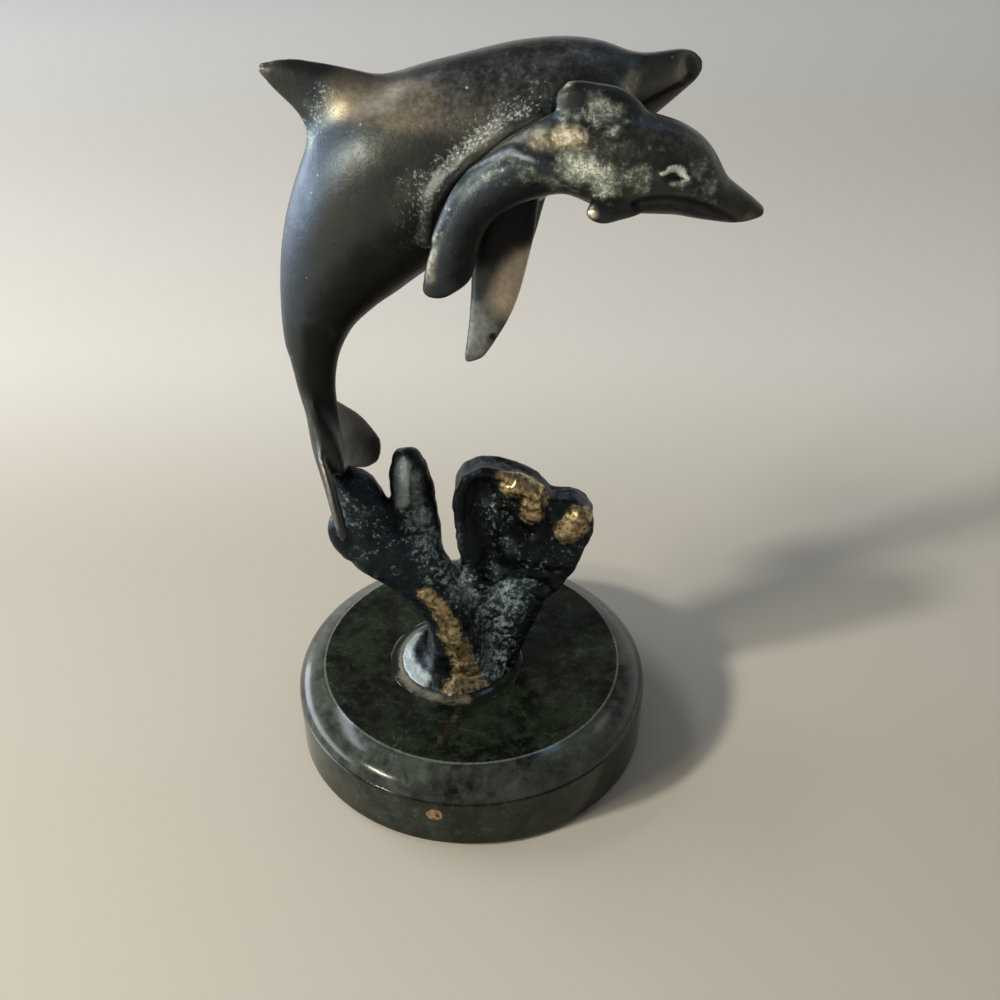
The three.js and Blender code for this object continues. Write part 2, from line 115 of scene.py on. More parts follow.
def add_ring(mid, chord, normal, half, sides, square):
    """An oval loop of vertices, left selected in edit mode."""
    across = Vector(chord).normalized()
    upright = Vector(normal).normalized()
    axes = Matrix((across, upright, across.cross(upright))).transposed()
    bpy.ops.mesh.select_all(action="DESELECT")
    bpy.ops.mesh.primitive_circle_add(vertices=sides, radius=MM, location=mid, rotation=axes.to_euler())
    size = (max(np.linalg.norm(chord), 1e-5), max(half, 1e-5))
    bpy.ops.transform.resize(
        value=(size[0] / MM, size[1] / MM, 1), orient_type="GLOBAL", orient_matrix=axes,
        orient_matrix_type="GLOBAL", center_override=mid)
    if square != 1:
        mesh = bmesh.from_edit_mesh(bpy.context.object.data)
        inverse = axes.inverted()
        for vertex in (v for v in mesh.verts if v.select):
            place = inverse @ (vertex.co - Vector(mid))
            for axis in (0, 1):
                share = place[axis] / size[axis]
                place[axis] = math.copysign(abs(share) ** square, share) * size[axis]
            vertex.co = axes @ place + Vector(mid)
        bmesh.update_edit_mesh(bpy.context.object.data)


def bridge_last_two(sides):
    mesh = bmesh.from_edit_mesh(bpy.context.object.data)
    mesh.verts.ensure_lookup_table()
    for vertex in mesh.verts[-2 * sides:]:
        vertex.select = True
    mesh.select_flush_mode()
    bmesh.update_edit_mesh(bpy.context.object.data)
    bpy.ops.mesh.bridge_edge_loops()


def loft(name, rows, sides=24, steps=2, square=1.0, ends=None, levels=2):
    """A closed skin over oval sections, with rounded ends, made ring by ring."""
    rows = between(rows, steps) * MM
    a, b, half = rows[:, 0:3], rows[:, 3:6], rows[:, 6]
    mids = (a + b) / 2
    last = len(rows) - 1
    rings = []
    for k in range(len(rows)):
        along = mids[min(k + 1, last)] - mids[max(k - 1, 0)]
        along /= np.linalg.norm(along)
        chord = (a[k] - b[k]) / 2
        normal = np.cross(chord, along)
        rings.append((mids[k], chord, normal / np.linalg.norm(normal), half[k], along))
    bulges = [value * MM for value in ends] if ends else (half[0], half[-1])

    def cap(ring, direction, bulge, angle):
        mid, chord, normal, thick, along = ring
        flat = math.cos(angle)
        return mid + along * direction * bulge * math.sin(angle), chord * flat, normal, thick * flat, along

    angles = np.radians((80, 60, 35))
    start = [cap(rings[0], -1, bulges[0], angle) for angle in angles]
    end = [cap(rings[-1], 1, bulges[1], angle) for angle in angles[::-1]]
    piece = empty_mesh(name)
    for k, (mid, chord, normal, thick, _) in enumerate(start + rings + end):
        add_ring(mid, chord, normal, thick, sides, square)
        if k:
            bridge_last_two(sides)
    bpy.ops.mesh.select_all(action="SELECT")
    bpy.ops.mesh.fill_holes(sides=0)
    bpy.ops.mesh.normals_make_consistent(inside=False)
    bpy.ops.object.mode_set(mode="OBJECT")
    if levels:
        modify(piece, "SUBSURF", levels=levels, render_levels=levels)
    return piece


def fuse(name, pieces, voxel):
    """Several closed pieces as one skin of even small faces."""
    deselect()
    for piece in pieces:
        piece.select_set(True)
    bpy.context.view_layer.objects.active = pieces[0]
    bpy.ops.object.join()
    fused = bpy.context.object
    fused.name = fused.data.name = name
    return modify(fused, "REMESH", mode="VOXEL", voxel_size=voxel * MM)


def slab_piece(name, outline, front, back, bevel, crown):
    """A closed slab of the given outline between two depths, its rims bevelled."""
    piece = empty_mesh(name)
    mesh = bmesh.from_edit_mesh(piece.data)
    corners = [mesh.verts.new((x * MM, front * MM, (z + BASE_TOP) * MM)) for x, z in outline]
    face = mesh.faces.new(corners)
    face.select = True
    mesh.select_flush(True)
    bmesh.update_edit_mesh(piece.data)
    bpy.ops.mesh.extrude_region_move(TRANSFORM_OT_translate={"value": (0, (back - front) * MM, 0)})
    bpy.ops.mesh.select_all(action="SELECT")
    bpy.ops.mesh.normals_make_consistent(inside=False)
    bpy.ops.mesh.select_all(action="DESELECT")
    mesh = bmesh.from_edit_mesh(piece.data)
    for face in mesh.faces:
        face.select = abs(face.normal.y) > 0.9
    mesh.select_flush(True)
    bmesh.update_edit_mesh(piece.data)
    bpy.ops.mesh.inset(thickness=bevel * MM, depth=0)
    bpy.ops.transform.resize(value=(1, 1 + 2 * crown / (back - front), 1),
                             center_override=(0, (front + back) / 2 * MM, 0))
    bpy.ops.object.mode_set(mode="OBJECT")
    return piece


def saw_off(piece, mid, normal):
    """Cuts a piece flat: what lies on the normal's side goes, and the cut is closed."""
    pick(piece)
    bpy.ops.object.mode_set(mode="EDIT")
    bpy.ops.mesh.select_all(action="SELECT")
    x, y, z = mid
    bpy.ops.mesh.bisect(plane_co=(x * MM, y * MM, (z + BASE_TOP) * MM), plane_no=normal, use_fill=True,
                        clear_outer=True)
    bpy.ops.object.mode_set(mode="OBJECT")
    return piece


def turned(name, centre, profile, sides, ring=False):
    """A round piece from a profile of (radius, height) in millimetres above the floor. It is closed at its
    ends, or for a ring from the last edge to the first."""
    piece = empty_mesh(name)
    x, y = centre
    for k, (radius, height) in enumerate(profile):
        bpy.ops.mesh.select_all(action="DESELECT")
        bpy.ops.mesh.primitive_circle_add(
            vertices=sides, radius=radius * MM, location=(x * MM, y * MM, height * MM))
        if k:
            bridge_last_two(sides)
    if ring:
        bpy.ops.mesh.select_all(action="DESELECT")
        mesh = bmesh.from_edit_mesh(piece.data)
        for edge in mesh.edges:
            edge.select = edge.is_boundary
        bmesh.update_edit_mesh(piece.data)
        bpy.ops.mesh.bridge_edge_loops()
    bpy.ops.mesh.select_all(action="SELECT")
    if not ring:
        bpy.ops.mesh.fill_holes(sides=0)
    bpy.ops.mesh.normals_make_consistent(inside=False)
    bpy.ops.object.mode_set(mode="OBJECT")
    return piece


# Shaping a skin by moving its vertices

def places(piece):
    """Every vertex in millimetres, with heights above the marble's top face."""
    flat = np.empty(len(piece.data.vertices) * 3, np.float32)
    piece.data.vertices.foreach_get("co", flat)
    found = flat.reshape(-1, 3).astype(float) / MM
    found[:, 2] -= BASE_TOP
    return found


def place_vertices(piece, where):
    where = where.copy()
    where[:, 2] += BASE_TOP
    piece.data.vertices.foreach_set("co", (where * MM).astype(np.float32).ravel())
    piece.data.update()


def outward(piece):
    flat = np.empty(len(piece.data.vertices) * 3, np.float32)
    piece.data.vertex_normals.foreach_get("vector", flat)
    return flat.reshape(-1, 3).astype(float)


def distance_to(where, path):
    """Each vertex's distance to a line through points."""
    path = np.array(path, float).reshape(-1, 3)
    found = np.linalg.norm(where - path[0], axis=1)
    for start, end in zip(path[:-1], path[1:]):
        step = end - start
        share = np.clip((where - start) @ step / (step @ step), 0, 1)
        found = np.minimum(found, np.linalg.norm(where - start - share[:, None] * step, axis=1))
    return found


def falloff(distance, radius):
    """1 on the line, easing to 0 at the radius."""
    return np.clip(1 - (distance / radius) ** 2, 0, 1) ** 2


def round_foot(radius, height, degrees):
    """Points on a circle about the casting's foot."""
    x, y = FOOT_CENTRE
    return [(x + radius * math.cos(a), y + radius * math.sin(a), height) for a in np.radians(degrees)]


def mirrored(path, plane):
    return [(x, 2 * plane - y, z) for x, y, z in path]


def laid(piece, path):
    """The path laid onto the piece's skin, with points between its own."""
    path = np.array(path, float).reshape(-1, 3)
    steps = np.arange(0, len(path) - 0.99, 0.25)
    dense = np.stack([np.interp(steps, np.arange(len(path)), column) for column in path.T], axis=1)
    found = []
    for x, y, z in dense:
        place = piece.closest_point_on_mesh(Vector((x, y, z + BASE_TOP)) * MM)[1] / MM
        found.append((place.x, place.y, place.z - BASE_TOP))
    return found


def push(piece, path, radius, height):
    """Raises the skin along a line, or presses it in where the height is negative."""
    where = places(piece)
    share = falloff(distance_to(where, laid(piece, path)), radius)
    place_vertices(piece, where + outward(piece) * (share * height)[:, None])


def soften(piece, path, radius, rounds):
    """Smooths the skin along a line."""
    group = piece.vertex_groups.new(name="soft")
    share = falloff(distance_to(places(piece), path), radius)
    for index in np.flatnonzero(share > 0.02):
        group.add([int(index)], float(share[index]), "REPLACE")
    modify(piece, "SMOOTH", factor=0.5, iterations=rounds, vertex_group="soft")
    piece.vertex_groups.clear()


def flatten(piece, mid, normal, path, reach):
    """Files a flat face: what stands past a plane, near a line, is laid onto the plane."""
    where = places(piece)
    normal = np.array(normal) / np.linalg.norm(normal)
    past = (where - mid) @ normal
    near = distance_to(where, path) < reach
    where[near & (past > 0)] -= np.outer(past[near & (past > 0)], normal)
    place_vertices(piece, where)


def ruffle(piece, size, height, name, depth=1):
    """Uneven height all over, as a hand-finished casting has."""
    clouds = bpy.data.textures.new(name, "CLOUDS")
    clouds.noise_scale = size * MM
    clouds.noise_depth = depth
    modify(piece, "DISPLACE", texture=clouds, texture_coords="LOCAL", strength=height * MM, mid_level=0.5)


def neighbours(piece):
    flat = np.empty(len(piece.data.edges) * 2, np.int32)
    piece.data.edges.foreach_get("vertices", flat)
    return flat.reshape(-1, 2)


def averaged(values, edges, rounds):
    """Values evened out over the skin."""
    one, two = edges[:, 0], edges[:, 1]
    count = len(values)
    share = np.bincount(one, minlength=count) + np.bincount(two, minlength=count)
    share = np.maximum(share, 1)
    values = values.astype(float)
    for _ in range(rounds):
        if values.ndim == 1:
            total = np.bincount(one, values[two], count) + np.bincount(two, values[one], count)
            values = 0.5 * values + 0.5 * total / share
        else:
            values = np.stack([averaged(column, edges, 1) for column in values.T], axis=1)
    return values


def paint(piece, name, values):
    attribute = piece.data.attributes.new(name, "FLOAT", "POINT")
    attribute.data.foreach_set("value", np.clip(values, 0, 2).astype(np.float32))


def paint_strokes(piece, name, strokes):
    """A finish's strength over the skin, from strokes of (path, radius, strength)."""
    where = places(piece)
    total = np.zeros(len(where))
    for path, radius, strength in strokes:
        total = np.maximum(total, strength * falloff(distance_to(where, laid(piece, path)), radius))
    paint(piece, name, total)


def paint_relief(piece):
    """How far each place stands proud of its surroundings: 0.5 is level, 1 is proud, 0 is sunk."""
    where = places(piece)
    edges = neighbours(piece)
    proud = np.einsum("ij,ij->i", where - averaged(where, edges, 24), outward(piece))
    proud = averaged(proud, edges, 3)
    paint(piece, "relief", 0.5 + 0.5 * proud / FULLY_PROUD)


# Skins

MOTHER = sections(MOTHER_PLANE, body([
    (50.4, 168.3, 49.9, 164.7, 2.4),
    (48, 169.9, 47.3, 162.3, 3.5),
    (45, 170.2, 44, 159.3, 4.4),
    (40, 169.4, 39, 155.1, 6.2),
    (35, 169.8, 32.5, 149.8, 8.6),
    (29, 171.9, 25.5, 144.2, 11.4),
    (20, 172.7, 18, 138.7, 13.6),
    (9, 171.3, 10.5, 134.1, 15),
    (-2, 168.9, 3, 129.2, 15.6),
    (-12.5, 166.3, -4, 124.7, 15.6),
    (-22.5, 162, -10, 120.3, 15),
    (-30, 156, -14.8, 116.4, 13.8),
    (-34.6, 149.7, -18.8, 113.6, 12.4),
    (-38.2, 139.9, -22.6, 110.5, 10.8),
    (-41.4, 128.2, -26, 107.1, 8.8),
    (-43, 115.8, -28.8, 102.5, 6.8),
    (-43.4, 103.7, -30.8, 97.5, 5),
    (-42.5, 93.5, -32, 90.5, 4.1),
    (-40.9, 84, -31.8, 82.4, 3.5),
    (-38, 75, -31.2, 74, 2.8),
    (-36, 67, -30.8, 66.2, 2.4),
]))

MOTHER_DORSAL_FIN = sections(MOTHER_PLANE, body([
    (-2, 152, -26, 132, 12.5),
    (-10, 160, -29, 140, 9.2),
    (-17, 165.8, -33, 148.6, 5.8),
    (-24.5, 167.4, -34, 154, 3.9),
    (-31, 168.3, -36.8, 158, 2.9),
    (-37, 168.3, -39.5, 161.2, 2.1),
    (-40.6, 167.4, -41.4, 164.6, 1.3),
]))

NEAR_FLUKE = sections(MOTHER_PLANE, [
    (5, -38.4, 90, -34.6, 68),
    (0, -39.8, 88, -36.8, 66),
    (-4, -38.5, 82, -35.1, 62.8),
    (-9, -36, 76.5, -33.2, 58.6),
    (-14, -33.6, 69.6, -31.3, 54.6),
    (-17.4, -31.6, 62.6, -30.6, 55.2),
], (1.8, 1.3))

FAR_FLUKE = sections(MOTHER_PLANE, [
    (-5, -38, 90, -31.6, 66),
    (0, -38, 90, -31.4, 64.6),
    (5, -36.4, 85.5, -30.4, 62.4),
    (10, -33, 80, -29.4, 59),
    (15, -28.2, 72.6, -28, 55.8),
    (18.4, -24.4, 63.8, -26, 55.4),
], (2.7, 1.2))


def mother_pectoral(side, forward):
    return sections(MOTHER_PLANE, [
        (side * offset, ax + forward, az, bx + forward, bz) for offset, ax, az, bx, bz in [
            (-9, 16.8, 144, 3, 142),
            (-11.5, 16.4, 138, 2, 132),
            (-13, 14.8, 131, 1.8, 124),
            (-14.5, 12.6, 122, 1.3, 116.6),
            (-15.6, 9.4, 114.6, 0.6, 110.4),
            (-16.3, 5.2, 108, 0.1, 106.6),
        ]], (3.2, 1.3))


CALF = sections(CALF_PLANE, body([
    (61.9, 144.4, 61.5, 141.9, 1.9),
    (59.8, 146.2, 58.8, 141, 3),
    (56.8, 148.4, 55.6, 140.7, 3.9),
    (54, 150.6, 52.4, 141.2, 4.8),
    (51.6, 155.4, 48.6, 141.8, 6.3),
    (47.6, 159.6, 44, 142.6, 7.6),
    (42, 162.2, 38, 143, 8.4),
    (35.5, 164, 33, 143, 8.6),
    (28, 165, 27, 144.6, 8.2),
    (20, 163.7, 21.5, 147.3, 7.4),
    (12.5, 160, 16, 146.3, 6.4),
    (6.5, 155.7, 10.4, 144, 5.4),
    (1.5, 151, 6, 140.2, 4.6),
    (-2, 146.6, 4.2, 136, 4),
    (-5, 139.4, 3, 131.4, 3.4),
    (-7.6, 131, 1.8, 127.4, 2.8),
    (-8.4, 126.4, -1.4, 125, 2.2),
]))

CALF_DORSAL_FIN = sections(CALF_PLANE, body([
    (38, 160, 20, 157.5, 5.4),
    (37.6, 163.8, 19.4, 161.5, 4.3),
    (35, 166.3, 18.9, 165, 3.2),
    (31.4, 168.3, 19, 167.4, 2.4),
    (27, 168.9, 20.8, 168.3, 1.7),
]))


def calf_pectoral(side):
    return sections(CALF_PLANE, [
        (side * offset, ax, az, bx, bz) for offset, ax, az, bx, bz in [
            (-2, 41, 146, 29.5, 152),
            (-5.4, 36.4, 144.4, 27, 149.4),
            (-8, 31.2, 144, 25.8, 147.2),
        ]], (3.6, 2.3))


LEFT_BRANCH = sections(CORAL_PLANE, [
    (-6, -13, -2, 5, -2, 10.2),
    (-6, -12.6, 8, 4.6, 7, 7.4),
    (-5.2, -13, 18, 2, 19, 6.4),
    (-4.4, -17, 24.5, -1.8, 30, 5.9),
    (-4, -24, 31, -6, 39, 5.6),
    (-3, -31.5, 35.5, -12, 46.5, 5.5),
    (-2, -34.6, 44, -18.8, 51.6, 5),
    (-1.5, -33.4, 53.5, -22, 57.4, 4.6),
    (-1, -36, 61, -24.8, 62.2, 4.2),
])

FINGER = sections(CORAL_PLANE, [
    (-2, -16, 34, -6.6, 34),
    (-1, -19, 44, -7, 44),
    (0, -20.6, 53, -8.2, 54),
    (0.6, -20.8, 61, -9.4, 61.5),
    (0.8, -20.4, 66, -11.2, 66.6),
], (4.8, 4))

RIGHT_STEM = sections(CORAL_PLANE, [
    (-2, 0, -2, 12.4, -2, 8.6),
    (-1.4, 1, 8, 14.9, 5.4, 7),
    (-0.6, -1, 18.5, 17.8, 13, 6),
    (0.5, -2.5, 30, 22.5, 22.5, 5),
    (0, -2, 40, 25, 32, 4.8),
])

KNOB = sections(CORAL_PLANE, [
    (-3.4, -34.8, 39.6, -28, 43, 3.6),
    (-3.4, -38.2, 44.6, -29, 46.8, 4),
    (-3.2, -37.8, 48.6, -30, 50, 3.2),
])

# The broad leaf's edge as it stands, seen from the front, and the web that joins it to the left stem
LEAF_EDGE = [
    (8, 18), (17.6, 18.2), (20.4, 22.6), (25.6, 28.6), (28.2, 33.2), (30.8, 40.8), (32.8, 46.6),
    (32.8, 50.6), (31.2, 54.6), (28.4, 56.8), (24.8, 57.2), (22, 57), (20, 59.4), (17, 62.4), (12.6, 64.6),
    (9, 66), (4.2, 66.9), (1.4, 66), (-1.4, 64), (-3.5, 60.8), (-3.9, 54.4), (-3.5, 48.6), (-2.7, 40),
    (-2.2, 33), (0, 26),
]
WEB_EDGE = [
    (-12, 24), (-2, 4), (6, 4), (8, 18), (6, 32), (-2, 33.4), (-4.6, 32.6), (-6.4, 34.6), (-10, 46),
    (-16, 46), (-20, 36),
]


fin = {"sides": 16}
slab = {"sides": 20, "square": 0.85}
BEAK_CUT = (48.5, -3.5, 167.6), (0.66, -0.7, 0.26)
FINGER_CUT = (-18.6, -2.8, 62), (-0.7, -0.68, 0.2)
mother = fuse("mother_dolphin", [
    saw_off(loft("trunk", MOTHER, ends=(0.8, 2)), *BEAK_CUT),
    loft("dorsal", MOTHER_DORSAL_FIN, **fin),
    loft("near_fluke", NEAR_FLUKE, **fin),
    loft("far_fluke", FAR_FLUKE, **fin),
    loft("right_pectoral", mother_pectoral(1, 0), sides=20, square=0.7),
    loft("left_pectoral", mother_pectoral(-1, 3.5), sides=20, square=0.7),
], 0.5)

calf = fuse("calf_dolphin", [
    loft("trunk", CALF, ends=(0.8, 2.6)),
    loft("dorsal", CALF_DORSAL_FIN, **fin),
    loft("right_pectoral", calf_pectoral(1), **fin),
    loft("left_pectoral", calf_pectoral(-1), **fin),
], 0.36)

foot = turned("foot", FOOT_CENTRE, [
    (15.5, BASE_TOP), (15.5, BASE_TOP + 1), (14.9, BASE_TOP + 1.7), (11.8, BASE_TOP + 3.6),
    (10.6, BASE_TOP + 3.4), (8, BASE_TOP + 3)], 96)
coral = fuse("coral", [
    foot,
    loft("left_branch", LEFT_BRANCH, **slab),
    saw_off(loft("finger", FINGER, sides=16), *FINGER_CUT),
    loft("right_stem", RIGHT_STEM, **slab),
    slab_piece("leaf", LEAF_EDGE, -4.6, 3.6, 2.6, 2.4),
    slab_piece("web", WEB_EDGE, -6, 2.2, 1.4, 0.8),
    loft("knob", KNOB, sides=12, steps=1),
], 0.4)

soften(mother, [(-6, -2, 162), (-20, -2, 158), (-30, -2, 150)], 20, 500)
soften(mother, [(-41, -4, 96), (-39, -6, 86), (-36.5, -6, 78)], 7, 300)
for side in (-1, 1):
    soften(mother, [(3, -2 - side * 11, 138), (16, -2 - side * 10.5, 139)], 6, 60)
soften(calf, [(16, -22, 160), (28, -22, 162), (39, -22, 162)], 5.5, 150)
soften(calf, [(19, -22, 162), (19.6, -22, 168)], 3, 40)
for side in (-1, 1):
    soften(calf, [(30, -22 - side * 6, 149)], 5, 40)
soften(coral, [(14, 0, 30), (14, 0, 55)], 26, 70)
soften(coral, [(0, 0, 8), (-8, 0, 44), (-30, 0, 48)], 14, 120)
soften(coral, [(-12.4, -7, 18), (-11.4, -8, 11.6), (-11, -9, 4)], 7, 200)
for piece in (mother, calf, coral):
    modify(piece, "SMOOTH", factor=0.5, iterations=6)
flatten(mother, (47.7, -2.9, 167.3), BEAK_CUT[1], [(40, -2, 163), (50, -2, 167)], 8)
flatten(coral, (-18, -2.2, 62), FINGER_CUT[1], [(-14, 0, 46), (-15.8, 0.8, 70)], 6.2)


# Hand finishing of the castings

def both_sides(path, plane):
    return path, mirrored(path, plane)


for path in both_sides([(48.1, -5, 165.1), (42.3, -7.1, 162.8), (37.1, -9.1, 160.6)], MOTHER_PLANE):
    push(mother, path, 1.2, -0.5)
for path in both_sides([(36.9, -5.6, 168.4), (36, -8, 166.3), (34.1, -9.8, 164)], MOTHER_PLANE):
    push(mother, path, 2.6, -0.5)
for path in both_sides([(29.6, -13, 162)], MOTHER_PLANE):
    push(mother, path, 1.8, 0.5)
for path in both_sides([(27.4, -13.4, 162.4), (29.4, -13, 163.8), (31.6, -12.4, 162.4)], MOTHER_PLANE):
    push(mother, path, 0.9, 0.4)
CALF_SEAM = [(-6.9, -15, 133.7), (-5, -17.3, 143.6), (-2.1, -17.6, 148), (2.1, -17.3, 152.1),
             (6.2, -16.9, 155.1), (10.2, -16.3, 158), (16.3, -15.2, 160.7)]
push(mother, [(x - 0.4, y, z + 0.4) for x, y, z in CALF_SEAM], 3.2, 1.8)
push(mother, [(6.6, -18.6, 112.3)], 1.5, -1.4)

CALF_RIDGE = [(-5.6, -22.3, 137.5), (-2, -23.3, 145.9), (2.2, -22.6, 151.5), (6, -24.4, 154.4),
              (10.6, -25.9, 156.8), (15, -28.3, 155.8), (19.5, -29.2, 154.7), (23.2, -28.6, 150.9)]
push(calf, CALF_RIDGE, 2.4, 0.5)
CALF_MOUTH = [(34.8, -29, 147.2), (36.3, -29, 148.1), (38.6, -29.2, 148.7), (42, -29.2, 148.8),
              (45.5, -28.8, 148.2),
              (49, -28, 146.8), (51.9, -27, 145), (54.6, -26, 143.3), (57.6, -24.4, 141.6)]
CALF_LID = [(39.8, -30, 154), (41.3, -30, 154.8), (42.6, -29.9, 154.9), (43.9, -29.8, 154.1),
            (45, -29.6, 152.8)]
CALF_LOWER_LID = [(39.8, -30.2, 152.7), (41.7, -30.1, 151.8), (44, -29.8, 151.8), (45.2, -29.6, 152.2)]
for path in both_sides(CALF_MOUTH, CALF_PLANE):
    push(calf, path, 1.3, -0.35)
for path in both_sides([(42.6, -30, 153.1)], CALF_PLANE):
    push(calf, path, 3, -0.8)
    push(calf, path, 1.2, 0.5)
for path in both_sides(CALF_LID, CALF_PLANE):
    push(calf, path, 1.5, 0.6)
for path in both_sides(CALF_LOWER_LID, CALF_PLANE):
    push(calf, path, 0.9, 0.4)

LEAF_HOLLOW = [(4, -6, 61), (3.2, -6, 55), (3.7, -6, 48), (5.5, -6, 41), (6, -6, 35)]
LEAF_RIM = [(-2.2, -5, 40), (-2.8, -5, 50), (-2.4, -5, 58), (-0.6, -5, 64), (4, -5, 66.4), (10, -5, 65)]
UPPER_LUMP = [(12.5, -7, 62), (17, -7, 59.5), (17, -7, 53)]
LOWER_LUMP = [(26, -7, 47), (29, -7, 52.5)]
LEAF_CREASE = [(21.9, -6, 60), (21.2, -6, 55), (20.7, -6, 50), (21.1, -6, 46)]
STEM_GOLD = [(-11.8, -10, 30.2), (-7, -10.5, 24.2), (-3.5, -12, 15.1), (-2, -13.5, 8)]
push(coral, LEAF_HOLLOW, 5.4, -3)
push(coral, LEAF_RIM, 2, 0.9)
push(coral, UPPER_LUMP, 4.8, 2.2)
push(coral, [(13.2, -8, 58.8), (13.8, -8, 57.6)], 1.8, -1.4)
push(coral, [(18.4, -8, 61), (18.8, -8, 57)], 1.6, 0.9)
push(coral, LOWER_LUMP, 4.2, 1.9)
push(coral, LEAF_CREASE, 2, -1.2)
push(coral, [(9.7, -6, 53), (11.5, -6, 49), (15.7, -6, 46)], 2.6, -1.2)
push(coral, [(10, -6, 40), (16, -6, 39), (22, -6, 38)], 4.6, 1)
push(coral, [(6, -6, 28.1), (9.8, -6, 30), (14.7, -6, 30), (19.7, -6, 28.5)], 3, -1.2)
push(coral, STEM_GOLD, 3, 1)
push(coral, [(-11.7, -8, 17.5), (-10.6, -8, 11.6), (-9.5, -8, 6)], 3.6, -0.9)

ruffle(mother, 14, 0.3, "broad_waves")
ruffle(calf, 9, 0.4, "calf_waves")
ruffle(coral, 5.5, 1.1, "coral_lumps")
ruffle(coral, 2, 0.25, "coral_grains")


# Where each finish lies

STEM_FOOT = [(-6, -16, 2.5), (4, -16, 3)]
for piece in (mother, calf, coral):
    paint_relief(piece)

# Painted on the mother: the saddle patch is bare brass with a painted highlight, and the broad stroke down
# the upper back is a painted bronze sheen.
paint_strokes(mother, "rub_and_highlight", [
    ([(-23, -6, 161.8), (-16, -8.4, 161.8), (-8, -10.8, 161)], 10, 1.15),
    ([(-12, -9, 162), (-2, -12, 160), (6, -13, 157)], 11, 0.6),
    ([(-41.2, -3.2, 166.2), (-38, -3.4, 167)], 4, 0.2),
    ([(9.3, -18, 121), (11, -17.6, 125), (12.5, -16.9, 129)], 7, 1.5),
    ([(36, -8, 166.3), (34.1, -9.8, 163)], 3.4, 0.9),
    ([(37, -6.3, 164.6), (46, -5, 166.4)], 7, 0.46),
    ([(-33, -2, 152), (-42, -2, 128), (-44, -2, 112), (-43.5, -2, 100)], 2, 0.5),
    ([(-40, -6, 88), (-36.8, -10, 78), (-34, -16, 68), (-31.6, -19, 60)], 1.6, 0.4),
])
paint_strokes(mother, "salts_and_highlight", [
    ([(-28.3, -5.8, 161.4), (-30.1, -5.7, 157), (-32.3, -4.3, 152)], 7, 0.85),
    ([(-36, -4, 160), (-38, -4, 163)], 4, 0.2),
    ([(x - 0.6, y, z + 0.8) for x, y, z in CALF_SEAM], 4, 0.95),
    ([(x - 2, y, z + 2.4) for x, y, z in CALF_SEAM], 12, 0.72),
    ([(x - 3, y, z - 2) for x, y, z in CALF_SEAM[:3]], 12, 0.5),
    ([(33.6, -10, 164), (30, -13, 158)], 7, 0.7),
    # The two strokes on the right pectoral's lower part are a painted grey-blue sheen.
    ([(2.2, -19, 122), (1.6, -19.5, 112)], 5, 0.45),
    ([(0.8, -19, 122), (0.3, -19.5, 117)], 2.4, 0.7),
])
# Pale smooth film on the mother: the bead along the calf's seam is real, while the pectoral tip, the upper
# back and the line down the tail stock's edge are painted sheen and highlight.
paint_strokes(mother, "dust_and_sheen", [
    ([(x - 0.3, y, z + 0.2) for x, y, z in CALF_SEAM], 1.9, 0.9),
    ([(5, -19, 117), (3, -19, 109)], 8, 0.72),
    ([(-4, -10, 164.1), (4, -13, 163), (12, -11, 166.4), (24, -6, 168.6)], 14, 0.4),
    ([(-40.2, -6, 88), (-37.2, -10, 78), (-34.4, -16, 68), (-32, -19, 60)], 1.2, 0.3),
])
# Painted bluish sheen on the mother's left flank and tail stock.
paint_strokes(mother, "blue_sheen", [
    ([(-28, -9, 156), (-35, -8, 144), (-38, -6, 130), (-40, -5, 116)], 16, 1),
    ([(-41, -4, 112), (-41, -4, 96)], 6, 0.7),
])
# Painted shade: on the beak's cut facet and crease, in the pit, under the pectoral fin, over the belly and
# tail stock, and on the far fluke.
paint_strokes(mother, "shade", [
    ([(48.2, -3.4, 167.6), (48.4, -3.2, 166)], 3.4, 1),
    ([(48.1, -5, 165.1), (42.3, -7.1, 162.8), (37.1, -9.1, 160.6)], 1.5, 0.9),
    ([(6.6, -18.6, 112.3)], 1.4, 1),
    ([(13, -15, 140), (6, -16, 134)], 12, 1),
    ([(2, -17, 142), (-10, -17, 132), (-19, -15, 124), (-27, -11, 112)], 17, 0.85),
    ([(-8, -13, 122), (-18, -9, 112), (-26, -6, 104)], 10, 0.8),
    ([(-34, -7, 108), (-36, -6, 96), (-35, -6, 84), (-33.6, -5, 74)], 9, 0.85),
    ([(-29, -4, 106), (-32, -3, 94), (-32, -3, 80)], 8, 1),
    ([(-33, 4, 68), (-29, 12, 61), (-26, 15, 59)], 12, 1),
])
# On the calf, the strongest stroke, on the gold patch, is a painted highlight, pale as the calf's second
# bare colour.
paint_strokes(calf, "rub_and_highlight", [
    ([(-6.5, -23.5, 137), (-6.8, -24, 129)], 3.4, 0.5),
    ([(15, -27, 160), (19.5, -28.5, 160.6)], 4.4, 0.75),
    ([(19.6, -28.5, 161), (22.6, -28.5, 160.6)], 3.8, 1.9),
    ([(25.6, -31.1, 146.5)], 3, 1),
    ([(59, -24.5, 143)], 3.5, 0.35),
    ([(4, -21, 156), (9, -22, 159), (14, -23, 161)], 6, 0.45),
    ([(26, -28, 159), (36, -28, 160), (44, -27, 159)], 9, 0.36),
    ([(21, -22, 170)], 2.5, 0.6),
])
